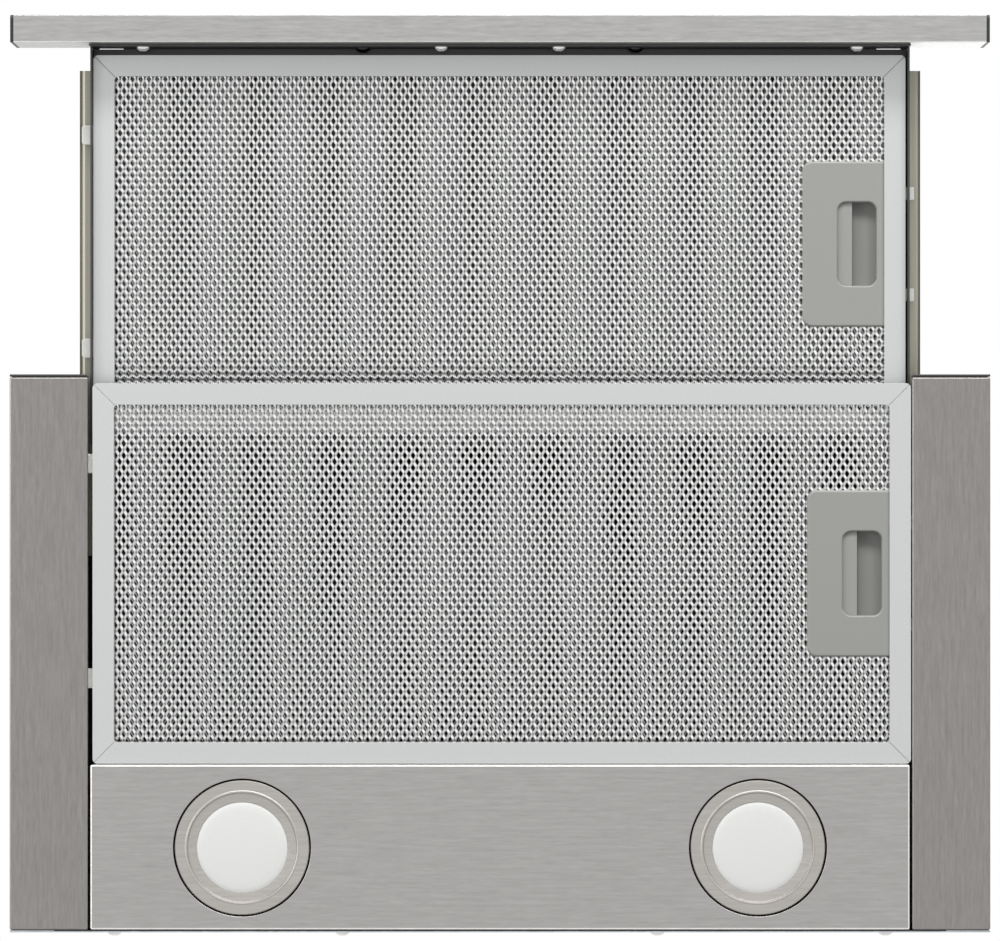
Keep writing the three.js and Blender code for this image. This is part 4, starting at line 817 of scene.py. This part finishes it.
for filter_name, body in (("fixed_filter", "hood_body"), ("drawer_filter", "drawer")):
    low, high = box_mm(f"{filter_name}_handle")
    frame_right = box_mm(f"{filter_name}_frame")[1][0]
    middle_y = (low[1] + high[1]) / 2
    face_end = frame_right - BAR
    handle = start_block(f"{filter_name}_handle_shell", low, high)
    round_edges(handle, HANDLE_CORNER, 8, lambda at, normal: abs(normal.z) > 0.9 and at.x < low[0] + 0.1)
    pick(handle, "FACE", lambda at, normal: normal.z < -0.9)
    bpy.ops.mesh.region_to_loop()
    bpy.ops.mesh.bevel(offset=HANDLE_RIM / 1000, segments=4, affect="EDGES")
    bpy.ops.object.mode_set(mode="OBJECT")
    right = face_end - SLOT_MARGIN
    left = right - SLOT_SIZE[0]
    half = SLOT_SIZE[1] / 2
    cavity = start_block("latch_cavity", (low[0] + HANDLE_WALL, middle_y - 30, low[2] + HANDLE_SKIN),
                         (left + GRIP + 0.3, middle_y + 30, high[2] + 1))
    slot = start_block("finger_slot", (left, middle_y - half, low[2] - 1),
                       (right, middle_y + half, low[2] + HANDLE_SKIN + 0.2))
    well = start_block("finger_well", (left + 1, middle_y - half, low[2] - 0.9),
                       (right, middle_y + half, low[2] + WELL_DEPTH))
    for cutter in (slot, well):
        round_edges(cutter, SLOT_CORNER, 8, lambda at, normal: abs(normal.z) > 0.9)
    cut_away(handle, [slot, well, cavity])
    round_edges(handle, SLOT_RIM, 3, lambda at, normal: abs(at.z - low[2]) < 0.01 and abs(normal.z) < 0.1
                and left - 0.1 < at.x < right + 0.1 and abs(at.y - middle_y) < half + 0.1)
    soften(handle, 0.15, 2)
    # The well's faces take the darker grey: painted shade.
    paint_folds(handle, lambda at, normal: at.z > low[2] + 1 and left < at.x < right and abs(at.y - middle_y) < half
                and at.z < low[2] + WELL_DEPTH + 0.1)
    fit_out(handle, [moulded_grey, shaded_grey], body, "grey_plastic", f"{filter_name}_handle")
    latch_low, latch_high = box_mm(f"{filter_name}_latch")
    plate_low, plate_high = low[2] + HANDLE_SKIN + 0.3, latch_high[2]
    tip_y = (latch_high[1] - latch_low[1]) / 2
    latch = start_block(f"{filter_name}_latch_plate", (latch_low[0], middle_y - tip_y, plate_low),
                        (left + GRIP, middle_y + tip_y, plate_high))
    arms = []
    for turn in (-1, 1):
        ends = sorted((middle_y + turn * tip_y, middle_y + turn * (tip_y - TONGUE_WIDTH)))
        arms.append(start_block("arm", (left, ends[0], plate_low), (latch_high[0], ends[1], plate_high)))
    arms.append(start_block("pull_wall", (left + GRIP - 1, middle_y - half + SLOT_CORNER, plate_low + 0.5),
                            (left + GRIP, middle_y + half - SLOT_CORNER, plate_high + 0.4)))
    join_to(latch, arms)
    pick(latch, "FACE", lambda at, normal: True)
    bpy.ops.mesh.bisect(plane_co=(face_end / 1000, 0, 0), plane_no=(1, 0, 0))
    bpy.ops.object.mode_set(mode="OBJECT")
    soften(latch, 0.35, 3)
    # Tongue tips take the pale nylon: partly its own colour, partly painted light where they sit in shade.
    paint_folds(latch, lambda at, normal: at.x > face_end)
    fit_out(latch, [moulded_grey, natural], f"{filter_name}_latch", "white_plastic", f"{filter_name}_latch")


# Pin tabs of the filters: the same natural nylon, moulded, two on each filter's left edge. They sit in
# slots of the shell and of the drawer's side, so that the filter swings down when its latch is pulled.
for filter_name in ("fixed_filter", "drawer_filter"):
    for end in ("front", "rear"):
        dress(f"{filter_name}_tab_{end}", natural, 0.0005)


# Fascia: a brushed stainless bar, roll formed with small radii, whose rear lower edge is painted light: a painted
# highlight. Caps of moulded black ABS close its ends, and five buttons of the same come through its front.
FASCIA_SHEET = 1.2
FRONT_RADIUS = 0.45
REAR_RADIUS = 1.0
BUTTON_PLAY = 0.3

fascia_steel = brushed("stainless_brushed_fascia", "989797", "bab9b8", True, 0.36)
low, high = box_mm("fascia")
bar = start_block("fascia_bar", low, high)
round_edges(bar, FRONT_RADIUS, 6, lambda at, normal: abs(normal.x) > 0.9 and at.y < low[1] + 0.1)
round_edges(bar, REAR_RADIUS, 4, lambda at, normal: abs(normal.x) > 0.9 and at.y > high[1] - 0.1
            and at.z < low[2] + 0.1)
pick(bar, "FACE", lambda at, normal: abs(normal.x) > 0.9)
bpy.ops.mesh.delete(type="FACE")
bpy.ops.object.mode_set(mode="OBJECT")
wall = bar.modifiers.new("sheet", "SOLIDIFY")
wall.thickness = FASCIA_SHEET / 1000
wall.offset = -1
apply_modifiers(bar)
button_names = ["button_off", "button_speed_1", "button_speed_2", "button_speed_3", "button_light"]
windows = []
for name in button_names:
    button_low, button_high = box_mm(name)
    windows.append(start_block("button_window",
                               (button_low[0] + 1 - BUTTON_PLAY, low[1] - 1, button_low[2] + 1 - BUTTON_PLAY),
                               (button_high[0] - 1 + BUTTON_PLAY, low[1] + 4, button_high[2] - 1 + BUTTON_PLAY)))
cut_away(bar, windows)
soften(bar, 0)
# The rear lower edge takes the painted highlight.
paint_folds(bar, lambda at, normal: at.y > high[1] - REAR_RADIUS and at.z < REAR_RADIUS and abs(normal.z) < 0.98)
fit_out(bar, [fascia_steel, bright_fold], "drawer", "brushed_stainless", "fascia")

moulded_black, nodes, shader, where = new_material("moulded_black_abs", "17171a", 0, 0.5)
pits = add_node(nodes, "ShaderNodeTexNoise", links={"Vector": where, "Scale": 1 / TOOL_TEXTURE, "Detail": 1})
tint(nodes, shader, pits.outputs[0], "121214", "1e1e22")
relief(nodes, shader, pits.outputs[0], 0.00004, 0.4)
for name in ("end_cap_left", "end_cap_right"):
    dress(name, moulded_black, 0.0006)
for name in ("switch_module", *button_names):
    dress(name, moulded_black, 0.0004)


# Tray rivets: domed zinc-plated steel heads outside the tray's side walls, near the front, that hold the slides.
RIVET = ((2.75, 0.0), (2.7, 0.5), (2.3, 1.0), (1.5, 1.4), (0.7, 1.5))
RIVET_Y = 9.0
RIVET_Z = 36.0

for side, turn in (("left", -1), ("right", 1)):
    low, high = box_mm("drawer_tray")
    rivet = turned(f"slide_rivet_{side}", RIVET, (0, 0), 24)
    close_end(rivet)
    soften(rivet, 0, angle=60)
    rivet.rotation_euler = (0, turn * math.pi / 2, 0)
    rivet.location = ((low[0] if turn < 0 else high[0]) / 1000, (low[1] + RIVET_Y) / 1000, RIVET_Z / 1000)
    deselect()
    rivet.select_set(True)
    bpy.context.view_layer.objects.active = rivet
    bpy.ops.object.transform_apply(location=True, rotation=True, scale=True)
    fit_out(rivet, [zinc], "drawer", "zinc_plated")


# Ball slides: steel strip rolled to a channel and zinc plated with a yellowish passivation, which draws
# faint streaks along it. The ball cages run between the two members.
RACE_RADIUS = 1.5
RACE_INSET = 1.95
STRIP = 1.2
ROLLED_EDGE = 0.25

rolled_zinc, nodes, shader, where = new_material("rolled_zinc_steel", "a5a292", 1, 0.42)
draw = add_node(nodes, "ShaderNodeMapping", links={"Vector": where, "Scale": (900, 12, 900)})
streak = add_node(nodes, "ShaderNodeTexNoise", links={"Vector": draw.outputs[0], "Scale": 1, "Detail": 3})
tint(nodes, shader, streak.outputs[0], "8b897c", "a9a79b")
polish(nodes, shader, streak.outputs[0], 0.4, 0.56)


def rolled_member(name, low, high, opening, race_x, race_z):
    """A channel rolled from strip, open towards X or -X, with a ball race pressed along each leg."""
    member = start_block(name, low, high)
    if opening > 0:
        inside = (low[0] + STRIP, high[0] + 1)
    else:
        inside = (low[0] - 1, high[0] - STRIP)
    cutters = [start_block("channel", (inside[0], low[1] - 1, low[2] + STRIP),
                           (inside[1], high[1] + 1, high[2] - STRIP))]
    for z in race_z:
        deselect()
        bpy.ops.mesh.primitive_cylinder_add(
            vertices=20, radius=RACE_RADIUS / 1000, depth=(high[1] - low[1] + 2) / 1000,
            location=(race_x / 1000, (low[1] + high[1]) / 2000, z / 1000), rotation=(math.pi / 2, 0, 0))
        cutters.append(bpy.context.object)
    cut_away(member, cutters)
    soften(member, ROLLED_EDGE, 3)
    return member


for side, turn in (("left", -1), ("right", 1)):
    cage_low, cage_high = box_mm(f"ball_cage_{side}")
    ball_z = (cage_low[2] + 1.0, cage_high[2] - 1.0)
    low, high = box_mm(f"slide_outer_{side}")
    inner_edge = high[0] if turn < 0 else low[0]
    race_x = inner_edge + turn * RACE_INSET
    outer = rolled_member(f"slide_outer_{side}_rolled", low, high, -turn, race_x, ball_z)
    fit_out(outer, [rolled_zinc], "hood_body", "zinc_plated", f"slide_outer_{side}")
    low, high = box_mm(f"slide_inner_{side}")
    inner = rolled_member(f"slide_inner_{side}_rolled", low, high, turn, race_x, ball_z)
    fit_out(inner, [rolled_zinc], "drawer", "zinc_plated", f"slide_inner_{side}")
    dress(f"ball_cage_{side}", rolled_zinc, 0.00015)


# Blower, outlet and mains box: the motor's steel can, painted dark grey as painted shade, and wheel, flaps and
# box in moulded black ABS. The outlet collar is moulded in one, with a bead that holds the duct, a lip inside that
# stops the flaps, and holes for their hinge pins.
dress("motor", pickled, 0.0005)
dress("fan_wheel", moulded_black, 0.0002)
COLLAR = ((58, 0), (71.6, 0), (72, 0.4), (72, 1.5), (71.5, 2), (62.5, 2.3), (60.6, 2.9), (60, 4), (60, 18.6),
          (60.2, 19), (61, 19.6), (61.2, 20), (61, 20.4), (60.2, 21), (60, 21.4), (60, 24.6), (59.6, 25), (58.4, 25),
          (58, 24.6), (58, 5.1), (55, 4.5), (55, 3.3), (58, 2.1), (58, 0))
PIN_HOLE = 1.5
PIN_OFFSET = 2.2
PIN_HEIGHT = 6

low, high = box_mm("outlet_collar")
outlet = ((low[0] + high[0]) / 2, (low[1] + high[1]) / 2)
collar = turned("outlet_collar_moulded", [(radius, low[2] + height) for radius, height in COLLAR], outlet, 112)
bpy.ops.mesh.select_all(action="SELECT")
bpy.ops.mesh.remove_doubles(threshold=1e-6)
bpy.ops.mesh.normals_make_consistent(inside=False)
bpy.ops.object.mode_set(mode="OBJECT")
pin_holes = []
for side in (-1, 1):
    deselect()
    bpy.ops.mesh.primitive_cylinder_add(
        vertices=24, radius=PIN_HOLE / 1000, depth=(high[0] - low[0]) / 1000, rotation=(0, math.pi / 2, 0),
        location=(outlet[0] / 1000, (outlet[1] + side * PIN_OFFSET) / 1000, (low[2] + PIN_HEIGHT) / 1000))
    pin_holes.append(bpy.context.object)
cut_away(collar, pin_holes)
soften(collar, 0)
fit_out(collar, [moulded_black], "hood_body", "black_plastic", "outlet_collar")
for name in ("outlet_flap_front", "outlet_flap_rear", "terminal_box", "cable_gland"):
    dress(name, moulded_black, 0.0004)
